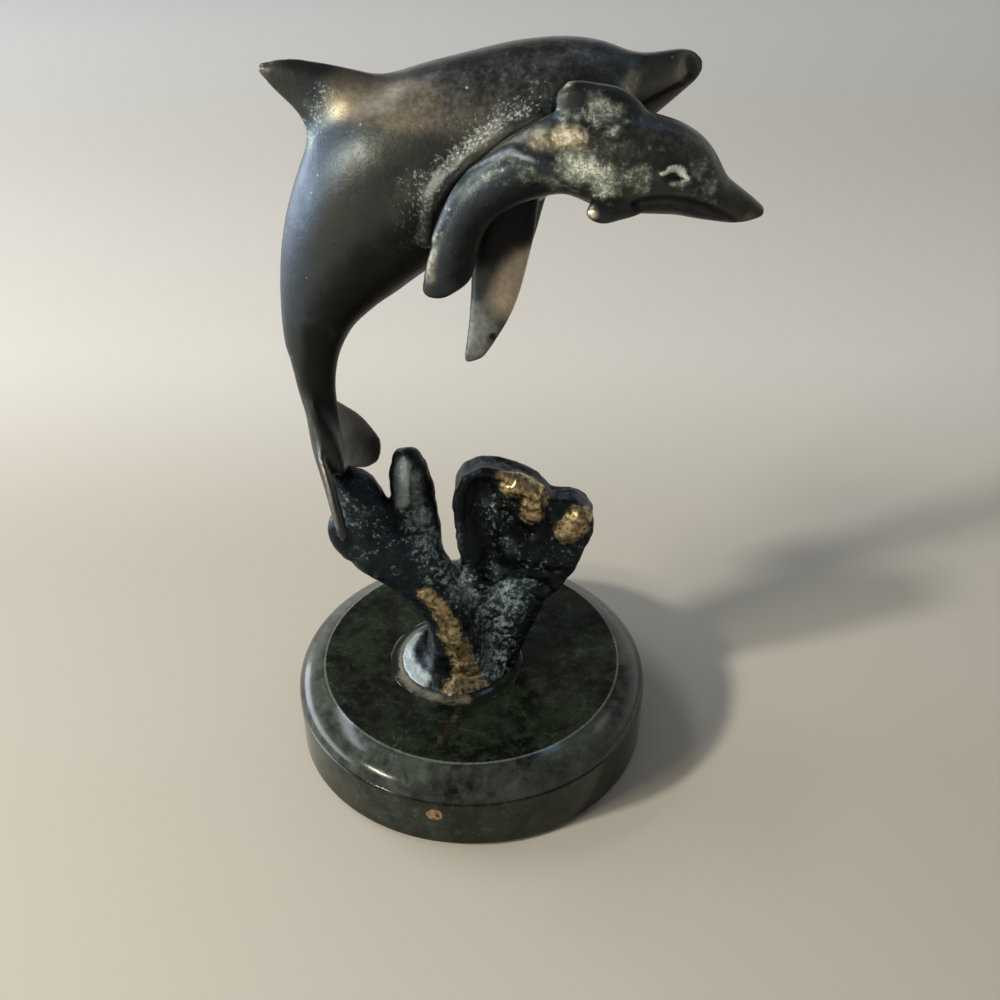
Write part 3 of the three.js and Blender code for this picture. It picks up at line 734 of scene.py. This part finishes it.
paint_strokes(calf, "salts_and_highlight", [
    ([(22.3, -29.8, 155.3), (26, -29.8, 154.4), (28.5, -29.8, 152.9), (28.9, -29.8, 151.5)], 6, 1.1),
    ([(23.4, -29.8, 155), (28, -29.8, 154)], 4, 1.35),
    ([(28.6, -29.8, 151.6), (29.2, -29.8, 151)], 2.2, 1.4),
    ([(26.7, -26, 166.4), (30.4, -26, 165.1), (30, -26, 160.8)], 4, 0.75),
    ([(20.9, -26, 163.4), (24.6, -26, 163.1), (27.6, -26, 163.1)], 4, 0.8),
    ([(32.8, -30, 153), (36.1, -30, 154.4), (36.3, -30, 151.2)], 4, 0.8),
    ([(46.4, -28, 154), (48.6, -28, 151.9), (50.2, -28, 149.8)], 5, 0.5),
    # The upper eyelid's crest is painted above 1.4: a painted highlight, partly pale salt.
    (CALF_LID, 0.95, 1.9),
    (CALF_LID[1:4], 1.5, 2),
    (CALF_LOWER_LID[1:], 1.2, 1.05),
    ([(19, -22, 165), (18.6, -22, 160)], 3, 0.6),
    ([(30, -29, 158), (38, -29.5, 156)], 10, 0.3),
    ([(-2, -23.5, 146), (-4.6, -23.5, 139)], 3, 0.3),
    ([(x + 1, y, z - 3) for x, y, z in CALF_RIDGE[3:7]], 6, 0.4),
])
# On the calf: a painted highlight along the tail's ridge.
paint_strokes(calf, "dust_and_sheen", [
    ([(x - 0.8, y + 1, z) for x, y, z in CALF_RIDGE[:3]], 3.2, 0.55),
    (CALF_RIDGE[2:6], 1.1, 0.7),
])
# Painted bluish sheen on the calf's tail and near its fin.
paint_strokes(calf, "blue_sheen", [
    ([(-4, -24, 130), (-1, -25, 142), (6, -26, 150), (14, -28, 153), (20, -28, 154)], 12, 0.9),
    ([(20, -24, 163)], 6, 0.8),
])
# Painted shade along the mouth, over the lower jaw, in the eye, at the forehead's edge and over the tail's
# inner face.
paint_strokes(calf, "shade", [
    (CALF_MOUTH, 1.9, 0.8),
    ([(x, y, z - 3) for x, y, z in CALF_MOUTH[:-2]], 4.6, 0.62),
    ([(42.3, -30, 152.9), (43.2, -30, 152.9)], 1.1, 0.75),
    ([(36, -29, 143.8), (30, -29, 147)], 6, 0.5),
    ([(44, -20, 162), (50, -20, 158), (54, -22, 152)], 8, 0.85),
    ([(38, -28, 144.6), (45, -28, 144), (52, -26, 141.6)], 4, 0.8),
    ([(1, -25, 130), (3, -26, 138), (8, -26, 145), (15, -28, 149)], 8, 0.8),
])
SEGMENTS = [([(-11.8, -10, 30.4), (-10, -10.4, 28.4)], 5), ([(-8.4, -10.4, 26), (-5, -11, 19.6)], 5.4),
            ([(-5, -11.6, 18), (-2.6, -12.6, 11), (-1.4, -14, 6)], 6.6), ([(-2.4, -15, 5), (1, -15, 4)], 6)]
paint_strokes(coral, "rub_and_highlight", [
    ([(11.6, -8, 64), (16.5, -8, 62.6), (17.4, -8.5, 58)], 8, 1),
    ([(17, -8, 57), (16.6, -8, 53)], 6, 1),
    ([(26, -8, 47.5), (29, -8, 52)], 7.5, 1),
    *((path, radius, 1) for path, radius in SEGMENTS),
    (STEM_FOOT, 5, 0.75),
])
paint_strokes(coral, "salts_and_highlight", [
    ([(-13, -5, 50), (-10, -6, 42), (-7, -6, 36), (-3, -6, 30), (0, -6, 26)], 10, 0.6),
    ([(9, -6, 58), (8, -6, 50), (9, -6, 42)], 7, 0.35),
    ([(10, -7, 26), (8, -8, 14), (8, -10, 2)], 14, 0.6),
    ([(12, -7, 37), (22, -6, 40)], 11, 0.25),
    ([(-18.6, -3.4, 66), (-18, -3.4, 56.5)], 3.8, 0.5),
    ([(-30, -6, 56), (-26, -6, 48)], 12, 0.3),
])
# On the coral: a painted reflection in the foot's hollow crescent, a painted highlight on the finger's flat
# facet, and painted sheen on other smooth faces.
paint_strokes(coral, "dust_and_sheen", [
    (round_foot(14, 2, (150, 180, 205, 228)), 4.4, 1),
    ([(-12.4, -7, 18), (-11.4, -8, 11.6), (-11, -9, 6)], 6, 0.4),
    ([(-18.6, -3.4, 67), (-18, -3.4, 57)], 4.4, 1.2),
    ([(-13, -4, 64), (-12, -5, 52)], 5, 0.5),
    ([(-1, -5, 27), (-2, -5, 33)], 6, 0.4),
    ([(-2.6, -5, 38), (-3, -5, 50)], 3, 0.4),
])
# Painted shade in the leaf's pit and creases and in the cracks between the gold segments.
paint_strokes(coral, "shade", [
    ([(13.2, -8, 58.8), (13.8, -8, 57.6)], 1.5, 1),
    (LEAF_CREASE, 2, 0.9),
    ([(9.7, -6, 53), (11.5, -6, 49), (13, -6, 42), (8, -6, 34)], 3, 0.9),
    ([(-12, -10, 26), (-7, -11, 28)], 1, 0.8),
    ([(-7.6, -10.4, 20), (-4.4, -12, 17.4), (-2.4, -11.4, 19.4)], 1, 0.9),
    ([(-5, -12, 9.4), (-2, -14, 8), (1, -13, 9)], 0.8, 0.9),
])


def turned_profile():
    """The marble: straight rim, fine groove, and a rounded shoulder that meets the flat top at an edge."""
    rim, top_radius, groove_top = 50, 42.2, 17.4
    last = math.radians(60)
    wide = (rim - top_radius) / (1 - math.cos(last))
    high = (BASE_TOP - groove_top) / math.sin(last)
    shoulder = [(rim - wide * (1 - math.cos(a)), groove_top + high * math.sin(a))
                for a in np.linspace(0, last, 14)]
    return [(20, 1.2), (49.4, 1.2), (50, 1.8), (50, 16.3), (49.86, 16.5), (49.4, 16.95), (49.86, 17.3),
            *shoulder, (41.9, BASE_TOP), (20, BASE_TOP)]


marble = turned("polished_marble", (0, 0), turned_profile(), 192)
bead = turned("dried_bead", FOOT_CENTRE, [
    (15, BASE_TOP - 0.5), (19.4, BASE_TOP - 0.5), (19, BASE_TOP - 0.02), (18.4, BASE_TOP + 0.05),
    (17.6, BASE_TOP + 0.12), (16.8, BASE_TOP + 0.3), (16.1, BASE_TOP + 0.7), (15.5, BASE_TOP + 0.9),
    (15, BASE_TOP + 0.8)], 160, ring=True)
ruffle(bead, 5, 0.25, "bead_unevenness")
paint_strokes(bead, "film", [
    (round_foot(16, 0.6, (130, 160, 190, 215)), 1.5, 0.8),
    (round_foot(17, 0.4, (205, 230, 260, 280)), 3.6, 0.7),
])

PLUG_ANGLE = math.radians(-100.4)
PLUG_HEIGHT = 12.3
plug_out = Vector((math.cos(PLUG_ANGLE), math.sin(PLUG_ANGLE), 0))
plug_side = Vector((-plug_out.y, plug_out.x, 0))
plug = empty_mesh("rim_plug")
PLUG_PROFILE = [(2.5, 46.2), (2.5, 49.7), (2.3, 49.95), (1.9, 50.05), (1.1, 50.1), (0.5, 50.05)]
for k, (radius, out) in enumerate(PLUG_PROFILE):
    add_ring(plug_out * out * MM + Vector((0, 0, PLUG_HEIGHT * MM)), plug_side * radius * MM, (0, 0, 1),
             radius * MM, 32, 1)
    if k:
        bridge_last_two(32)
bpy.ops.mesh.select_all(action="SELECT")
bpy.ops.mesh.fill_holes(sides=0)
bpy.ops.mesh.normals_make_consistent(inside=False)
bpy.ops.object.mode_set(mode="OBJECT")
modify(plug, "SUBSURF", levels=2, render_levels=2)
ruffle(plug, 1.2, 0.2, "plug_unevenness")
pit = plug_out * 50.1 + plug_side * 0.9
push(plug, [(pit.x, pit.y, PLUG_HEIGHT - BASE_TOP - 0.2)], 0.7, -0.7)

for piece, nodes, slot in (
        (mother, ("mother_body", "mother_flukes", "mother_right_pectoral_fin", "mother_left_pectoral_fin"),
         "mother_brass"),
        (calf, ("calf_body", "calf_flukes", "calf_right_pectoral_fin", "calf_left_pectoral_fin"),
         "calf_brass"),
        (coral, ("coral_foot", "coral_left_branch", "coral_finger", "coral_right_leaf"), "coral_brass"),
        (marble, ("marble_base",), "marble"),
        (bead, ("adhesive_bead",), "adhesive"),
        (plug, ("side_plug",), "plug_brass")):
    pick(piece)
    bpy.ops.object.shade_smooth()
    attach(piece, "root")
    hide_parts(*nodes)
    print(piece.name, len(piece.data.vertices), "vertices")
pick(marble)
bpy.ops.object.shade_smooth_by_angle(angle=math.radians(12))


# Finishes

class Field:
    """A value that varies over a surface. Arithmetic on fields adds Math nodes."""

    def __init__(self, finish, socket):
        self.finish = finish
        self.socket = socket

    def maths(self, operation, one, two):
        return self.finish.node("Math", {"operation": operation}, {0: one, 1: two})

    def __add__(self, other):
        return self.maths("ADD", self, other)

    def __sub__(self, other):
        return self.maths("SUBTRACT", self, other)

    def __rsub__(self, other):
        return self.maths("SUBTRACT", other, self)

    def __mul__(self, other):
        return self.maths("MULTIPLY", self, other)

    __radd__ = __add__
    __rmul__ = __mul__


class Finish:
    """A material, and the ways its nodes are made."""

    def __init__(self, name, plain=None):
        self.material = bpy.data.materials.new(name)
        self.material.use_nodes = True
        self.tree = self.material.node_tree
        self.shader = self.tree.nodes["Principled BSDF"]
        for key, value in (plain or {}).items():
            self.shader.inputs[key].default_value = value
        self.here = self.node("TexCoord", output=3)
        self.normal = None

    def node(self, kind, settings=None, sockets=None, output=0):
        made = self.tree.nodes.new("ShaderNode" + kind)
        for key, value in (settings or {}).items():
            setattr(made, key, value)
        for key, value in (sockets or {}).items():
            socket = made.inputs[key]
            if isinstance(value, Field):
                self.tree.links.new(value.socket, socket)
            elif socket.type == "RGBA":
                socket.default_value = (*value, 1)
            else:
                socket.default_value = value
        return Field(self, made.outputs[output])

    def feed(self, name, value):
        self.tree.links.new(value.socket, self.shader.inputs[name])

    def stretched(self, scale, turn=(0, 0, 0)):
        return self.node("Mapping", None, {"Vector": self.here, "Rotation": turn, "Scale": scale})

    def noise(self, size, detail=3, roughness=0.55, distortion=0, at=None):
        """Soft patches of about this size in millimetres."""
        return self.node("TexNoise", None, {
            "Vector": at or self.here, "Scale": 1 / (size * MM), "Detail": detail, "Roughness": roughness,
            "Distortion": distortion})

    def cells(self, size, output=0):
        """Distance from scattered points about this far apart, or the colour of each point's cell."""
        return self.node("TexVoronoi", None, {"Vector": self.here, "Scale": 1 / (size * MM)}, output)

    def painted(self, name):
        return self.node("Attribute", {"attribute_name": name}, output=2)

    def step(self, value, low, high):
        """0 below the first value, 1 above the second, and smooth between."""
        return self.node("MapRange", {"interpolation_type": "SMOOTHSTEP"},
                         {"Value": value, "From Min": low, "From Max": high})

    def larger(self, one, two):
        return self.node("Math", {"operation": "MAXIMUM"}, {0: one, 1: two})

    def blend(self, share, one, two):
        return self.node("Mix", {"data_type": "RGBA"}, {0: share, 6: one, 7: two}, output=2)

    def bump(self, height, depth):
        """Adds relief; depth in millimetres is what a height of 1 stands for."""
        sockets = {"Height": height, "Distance": depth * MM, "Strength": 1}
        if self.normal:
            sockets["Normal"] = self.normal
        self.normal = self.node("Bump", None, sockets)

    def dress(self, *pieces):
        if self.normal:
            self.feed("Normal", self.normal)
        for piece in pieces:
            piece.data.materials.clear()
            piece.data.materials.append(self.material)


def patina(name, ground, haze, bare, salts_and_highlight, dust_and_sheen_colour, blue_sheen_colour, texture, bare_and_lit_edge, patchiness, crumb, crust_edge,
           wash_share, base_salts, specks):
    """Dark patina on cast brass. It is rubbed bare where the piece is painted with rub_and_highlight and on
    proud edges, and its strongest strokes there are painted highlight and sheen. It carries pale salt where
    painted with salts_and_highlight and in hollows, and on the calf's upper eyelid that pale is a painted
    highlight. A smooth pale film lies under dust_and_sheen, mostly painted sheen and highlight and partly a
    real dusting; painted bluish sheen lies under blue_sheen, and painted shade under shade."""
    finish = Finish(name, {"Metallic": 1.0, "Roughness": 0.42})
    broad = finish.noise(20, 3)
    mottle = finish.noise(5, 5, 0.62)
    fine = finish.noise(1.3, 4, 0.62)
    grain = finish.noise(0.45, 3)
    stains = finish.noise(9, 5, 0.6, 0.6)
    relief = finish.painted("relief")
    rub_and_highlight = finish.painted("rub_and_highlight")
    salt_and_highlight_paint = finish.painted("salts_and_highlight")
    shade = finish.painted("shade")
    dust_and_sheen = finish.painted("dust_and_sheen")

    colour = finish.blend(finish.step(broad, 0.4, 0.6), *ground)
    # Painted bluish sheen where the piece is painted with blue_sheen.
    colour = finish.blend(finish.step(finish.painted("blue_sheen") + (stains - 0.5) * 0.8, 0.1, 1), colour, blue_sheen_colour)
    colour = finish.blend(finish.step(stains, 0.5, 0.75) * 0.45, colour, haze)
    hollow = finish.step(relief, 0.42, 0.2)
    colour = finish.blend(hollow * 0.6, colour, (0.012, 0.013, 0.014))

    scratch_one = finish.noise(0.9, 2, at=finish.stretched((0.09, 1, 1), (0, 0.5, 0)))
    scratch_two = finish.noise(0.7, 2, at=finish.stretched((1, 0.08, 1), (0.3, 0, 0.6)))
    scratches = finish.step(scratch_one, 0.68, 0.74) + finish.step(scratch_two, 0.69, 0.75)
    colour = finish.blend(scratches * 0.22, colour, haze)

    proud = finish.step(relief, 0.62, 0.95)
    patchy = (mottle - 0.5) * 1.3 + (fine - 0.5) * 0.9
    # Bare brass from wear on proud edges and rubbed places, and a painted highlight where the calf's patch
    # is painted strongest.
    worn_and_lit = finish.step(rub_and_highlight + proud * 0.22 + patchy * (rub_and_highlight + 0.3) * patchiness, *bare_and_lit_edge)
    bright = finish.blend(finish.step(fine, 0.35, 0.65), bare[0], bare[1])
    soiled = finish.step(grain + (fine - 0.5) * 0.6, 0.36, 0.26) * patchiness * 0.6
    bright = finish.blend(soiled, bright, (0.03, 0.022, 0.015))
    colour = finish.blend(worn_and_lit, colour, bright)

    # Painted sheen and highlight, with some real dusting, as a smooth pale film.
    dust_and_sheen_share = finish.step(dust_and_sheen + (fine - 0.5) * 0.7 + (mottle - 0.5) * 0.7, 0.15, 0.95)
    colour = finish.blend(dust_and_sheen_share, colour, dust_and_sheen_colour)

    pits = finish.cells(3.4)
    chance = finish.cells(3.4, 1)
    dots = finish.step(pits, 0.11, 0.06) * finish.step(chance, 0.5, 0.6) * finish.step(mottle, 0.42, 0.56)
    tendency = salt_and_highlight_paint + base_salts + (0.5 - relief) * 0.35
    crumbs = finish.noise(crumb, 4, 0.6)
    wash = finish.step(tendency + (stains - 0.5) * 2 + (mottle - 0.5), 0.35, 1.1)
    colour = finish.blend(wash * wash_share, colour, salts_and_highlight[0])
    crust = finish.step(tendency + (crumbs - 0.5) * 2.6 + (stains - 0.5) * 1.1, *crust_edge)
    pale = finish.blend(finish.step(grain, 0.35, 0.65), salts_and_highlight[0], salts_and_highlight[1])
    # Above 1.4, only on the calf's upper eyelid, the pale is a flat light grey: a painted highlight on the
    # lid's crest.
    pale = finish.blend(finish.step(salt_and_highlight_paint, 1.4, 1.8), pale, (0.6, 0.62, 0.58))
    pale_share = finish.larger(crust * 0.8, dots * specks)
    colour = finish.blend(pale_share, colour, pale)
    # Painted shade: near black where the piece is painted with shade.
    darkened = finish.step(shade + (mottle - 0.5) * 0.5, 0.3, 0.8) * 0.85
    colour = finish.blend(darkened, colour, (0.012, 0.012, 0.012))

    finish.feed("Base Color", colour)
    # The pale film of painted sheen and dusting, and the calf's painted highlight, are made less metallic
    # so that they read pale.
    matte_share = dust_and_sheen_share * 0.5 + finish.step(rub_and_highlight, 1.1, 1.8) * worn_and_lit * 0.55
    finish.feed("Metallic", 1 - finish.larger(pale_share * 0.85, matte_share))
    uneven = (mottle - 0.5) * 0.3 + (fine - 0.5) * 0.15
    finish.feed("Roughness", 0.42 + uneven + pale_share * 0.35 - worn_and_lit * 0.07)
    smooth = 1 - worn_and_lit * 0.85
    finish.bump(mottle * smooth, 0.3 * texture)
    finish.bump(fine * smooth, 0.07 * texture)
    finish.bump(grain * smooth + pale_share * 1.5, 0.025 * texture)
    finish.bump(scratches, -0.015)
    return finish


patina(
    "mother_patina",
    ground=((0.06, 0.061, 0.057), (0.055, 0.061, 0.064)), haze=(0.1, 0.11, 0.115),
    bare=((0.41, 0.345, 0.255), (0.49, 0.42, 0.32)), salts_and_highlight=((0.2, 0.22, 0.2), (0.46, 0.5, 0.46)),
    dust_and_sheen_colour=(0.2, 0.215, 0.205), blue_sheen_colour=(0.056, 0.07, 0.088), texture=0.6, bare_and_lit_edge=(0.15, 1.4),
    patchiness=0.09, crumb=0.75, crust_edge=(0.66, 1.1), wash_share=0.5, base_salts=-0.12, specks=0.7,
).dress(mother)
# The calf's pale cream second bare colour lights its gold patch as a painted highlight.
patina(
    "calf_patina",
    ground=((0.056, 0.055, 0.047), (0.052, 0.057, 0.057)), haze=(0.12, 0.135, 0.115),
    bare=((0.34, 0.28, 0.17), (0.85, 0.76, 0.56)), salts_and_highlight=((0.24, 0.27, 0.22), (0.8, 0.84, 0.72)),
    dust_and_sheen_colour=(0.17, 0.2, 0.23), blue_sheen_colour=(0.045, 0.056, 0.068), texture=0.7, bare_and_lit_edge=(0.15, 1.2),
    patchiness=0.2, crumb=1.5, crust_edge=(0.35, 1.6), wash_share=0.8, base_salts=0.04, specks=0.6,
).dress(calf)
patina(
    "coral_patina",
    ground=((0.014, 0.016, 0.018), (0.02, 0.026, 0.033)), haze=(0.05, 0.075, 0.09),
    bare=((0.17, 0.12, 0.055), (0.54, 0.43, 0.26)), salts_and_highlight=((0.1, 0.155, 0.165), (0.38, 0.46, 0.47)),
    dust_and_sheen_colour=(0.21, 0.24, 0.245), blue_sheen_colour=(0.02, 0.026, 0.03), texture=1.8, bare_and_lit_edge=(0.32, 0.82),
    patchiness=0.9, crumb=1.4, crust_edge=(0.45, 1.05), wash_share=0.5, base_salts=0.12, specks=0.5,
).dress(coral)


def dark_marble():
    finish = Finish("green_marble", {"Roughness": 0.1, "Specular IOR Level": 0.3})
    clouds = finish.noise(9, 4, 0.55, 0.4)
    flecks = finish.noise(3, 4, 0.55, 0.2)
    crumbs = finish.noise(1.1, 4, 0.65)
    veins = finish.noise(16, 5, 0.6, 1.2)
    out = finish.node("VectorMath", {"operation": "LENGTH"}, {0: finish.stretched((1, 1, 0))}, output=1)
    height = finish.node("SeparateXYZ", None, {0: finish.here}, output=2)
    satin_and_sheen = finish.step(out, 41.8 * MM, 43.5 * MM) * finish.step(height, 16 * MM, 19 * MM)
    edge = finish.step(out, 41.8 * MM, 42.1 * MM) - finish.step(out, 42.2 * MM, 42.8 * MM)
    colour = finish.blend(finish.step(clouds, 0.38, 0.66), (0.003, 0.004, 0.0025), (0.012, 0.017, 0.01))
    colour = finish.blend(finish.step(flecks, 0.45, 0.72) * 0.7, colour, (0.019, 0.026, 0.016))
    colour = finish.blend(finish.step(crumbs, 0.55, 0.75) * 0.35, colour, (0.05, 0.057, 0.04))
    mottles = 0.24 + (clouds - 0.5) * 0.9 + (flecks - 0.5) * 0.6
    # Painted sheen: the shoulder's colour is lightened as reflected light would lighten it; it is also a
    # little rougher.
    colour = finish.blend(satin_and_sheen * mottles, colour, (0.085, 0.096, 0.09))
    line = finish.step(veins, 0.488, 0.5) - finish.step(veins, 0.5, 0.512)
    colour = finish.blend(line * finish.step(clouds, 0.45, 0.6) * 0.2, colour, (0.13, 0.15, 0.12))
    # A thin pale ring where the flat top meets the shoulder: a painted highlight along that edge.
    colour = finish.blend(edge * (0.35 + (crumbs - 0.5)), colour, (0.24, 0.25, 0.22))
    finish.feed("Base Color", colour)
    dull = finish.step(flecks, 0.5, 0.8) * 0.1 + (crumbs - 0.5) * 0.05
    finish.feed("Roughness", 0.09 + dull + satin_and_sheen * 0.08)
    finish.bump(finish.noise(5, 3), 0.04)
    finish.bump(crumbs, 0.008)
    return finish


dark_marble().dress(marble)


def dried_glue():
    """Thin smeared adhesive: tan where it lies thick, and as dark as the marble where it is only a film."""
    finish = Finish("dried_glue", {"Roughness": 0.5})
    clouds = finish.noise(3.5, 4, 0.6)
    fine = finish.noise(0.8, 4, 0.6)
    film = finish.step(finish.painted("film") + (clouds - 0.5) * 1.1 + (fine - 0.5) * 0.5, 0.25, 1.0)
    colour = finish.blend(film, (0.006, 0.008, 0.005), (0.11, 0.095, 0.063))
    colour = finish.blend(finish.step(fine, 0.5, 0.7) * film * 0.5, colour, (0.15, 0.13, 0.095))
    finish.feed("Base Color", colour)
    finish.feed("Roughness", 0.14 + film * 0.45 + fine * 0.1)
    finish.bump(clouds * film, 0.12)
    finish.bump(fine * film, 0.05)
    return finish


dried_glue().dress(bead)


def copper_plug():
    finish = Finish("copper_plug", {"Metallic": 1.0, "Roughness": 0.45})
    fine = finish.noise(0.7, 4, 0.6)
    clouds = finish.noise(1.6, 3)
    colour = finish.blend(finish.step(clouds, 0.4, 0.6), (0.3, 0.17, 0.09), (0.55, 0.36, 0.24))
    colour = finish.blend(finish.step(fine, 0.55, 0.7) * 0.6, colour, (0.12, 0.075, 0.045))
    finish.feed("Base Color", colour)
    finish.feed("Roughness", 0.36 + fine * 0.25)
    finish.bump(fine, 0.06)
    return finish


copper_plug().dress(plug)


def wool_felt():
    finish = Finish("wool_felt", {"Roughness": 0.95})
    fibres = finish.noise(0.35, 6, 0.75, 1.5)
    tufts = finish.noise(4, 3)
    colour = finish.blend(finish.step(fibres, 0.35, 0.65), (0.018, 0.032, 0.022), (0.06, 0.09, 0.065))
    colour = finish.blend(finish.step(tufts, 0.4, 0.65) * 0.4, colour, (0.035, 0.05, 0.038))
    finish.feed("Base Color", colour)
    finish.feed("Roughness", 0.88 + fibres * 0.1)
    finish.bump(fibres, 0.12)
    return finish


wool_felt().dress(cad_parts["felt_pad"])


def zinc_steel():
    finish = Finish("zinc_steel", {"Metallic": 1.0, "Roughness": 0.35})
    clouds = finish.noise(2.5, 4, 0.6)
    grain = finish.noise(0.4, 3)
    spangle = finish.step(clouds, 0.35, 0.65)
    finish.feed("Base Color", finish.blend(spangle, (0.42, 0.43, 0.44), (0.58, 0.58, 0.57)))
    finish.feed("Roughness", 0.25 + clouds * 0.25)
    finish.bump(grain, 0.01)
    return finish


FASTENERS = "threaded_stud", "flat_washer", "spring_washer", "hex_nut"
zinc_steel().dress(*[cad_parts[name] for name in FASTENERS])

# Stage

deselect()
bpy.ops.mesh.primitive_plane_add(size=4)
floor = bpy.context.object
floor.name = "floor"
pale_floor = Finish("pale_floor", {"Roughness": 0.7})
depth = pale_floor.node("SeparateXYZ", None, {0: pale_floor.here}, output=1)
# The floor is painted darker near the object and paler towards the back, a painted falloff of the light.
painted_falloff = pale_floor.blend(pale_floor.step(depth, 0.06, 0.24), (0.44, 0.41, 0.355), (0.64, 0.61, 0.565))
painted_falloff = pale_floor.blend(pale_floor.step(depth, 0.45, 0.95), painted_falloff, (0.85, 0.845, 0.835))
pale_floor.feed("Base Color", painted_falloff)
pale_floor.dress(floor)


def soft_lamp(name, azimuth, elevation, distance, size, power, colour):
    """A soft rectangular lamp that faces the object."""
    away = Vector((
        math.cos(math.radians(azimuth)) * math.cos(math.radians(elevation)),
        math.sin(math.radians(azimuth)) * math.cos(math.radians(elevation)),
        math.sin(math.radians(elevation)),
    ))
    lamp = bpy.data.lights.new(name, "AREA")
    lamp.shape = "RECTANGLE"
    lamp.size, lamp.size_y = size
    lamp.energy = power
    lamp.color = colour
    holder = bpy.data.objects.new(name, lamp)
    bpy.context.scene.collection.objects.link(holder)
    holder.location = Vector((0, 0, 0.08)) + away * distance
    holder.rotation_euler = away.to_track_quat("Z", "Y").to_euler()
    holder.visible_camera = False
    return holder


soft_lamp("back_lamp", 157, 47, 0.9, (0.5, 0.11), 2.1, (0.85, 0.92, 1.0))
main_lamp = soft_lamp("main_lamp", 205, 30, 1.25, (0.1, 0.1), 14.0, (1.0, 0.95, 0.87))
main_lamp.visible_glossy = False
soft_lamp("low_left_lamp", 168, 3, 1.1, (1.3, 0.34), 10.5, (0.8, 0.89, 1.0))
soft_lamp("warm_lamp", 214, 25, 0.8, (0.16, 0.05), 3.0, (1.0, 0.94, 0.72))
soft_lamp("cool_lamp", 24, 66, 0.7, (0.12, 0.06), 0.12, (0.3, 0.6, 1.0))
soft_lamp("right_lamp", 21, 43, 0.8, (0.16, 0.1), 0.12, (0.95, 1.0, 1.0))


def room():
    """Surroundings that are pale along the horizon, most of all behind and left, and dim overhead."""
    world = bpy.data.worlds.new("room")
    bpy.context.scene.world = world
    world.use_nodes = True
    tree = world.node_tree
    place = tree.nodes.new("ShaderNodeTexCoord")
    parts = tree.nodes.new("ShaderNodeSeparateXYZ")
    tree.links.new(place.outputs["Generated"], parts.inputs[0])

    def share(axis, low, high, to_low, to_high):
        made = tree.nodes.new("ShaderNodeMapRange")
        made.interpolation_type = "SMOOTHSTEP"
        for key, value in (("From Min", low), ("From Max", high), ("To Min", to_low), ("To Max", to_high)):
            made.inputs[key].default_value = value
        tree.links.new(parts.outputs[axis], made.inputs["Value"])
        return made.outputs[0]

    def joined(operation, one, two):
        made = tree.nodes.new("ShaderNodeMath")
        made.operation = operation
        for socket, value in zip(made.inputs, (one, two)):
            if isinstance(value, float):
                socket.default_value = value
            else:
                tree.links.new(value, socket)
        return made.outputs[0]

    horizon = share("Z", 0.25, 0.56, 1.0, 0.0)
    behind = share("Y", -0.4, 0.5, 0.2, 1.0)
    left = share("X", 0.5, -0.8, 0.8, 1.3)
    level = joined("MULTIPLY", joined("MULTIPLY", horizon, behind), left)
    tree.links.new(joined("ADD", level, 0.16), tree.nodes["Background"].inputs["Strength"])
    tree.nodes["Background"].inputs["Color"].default_value = (1, 0.99, 0.97, 1)


room()

lens = bpy.data.cameras.new("camera")
lens.lens = 43.2
lens.sensor_width = 36
lens.clip_start = 0.01
camera = bpy.data.objects.new("camera", lens)
bpy.context.scene.collection.objects.link(camera)
camera.location = (0.0082, -0.2579, 0.2620)
camera.rotation_euler = (math.radians(54.6), 0, 0)
bpy.context.scene.camera = camera
bpy.context.scene.view_settings.view_transform = "Standard"
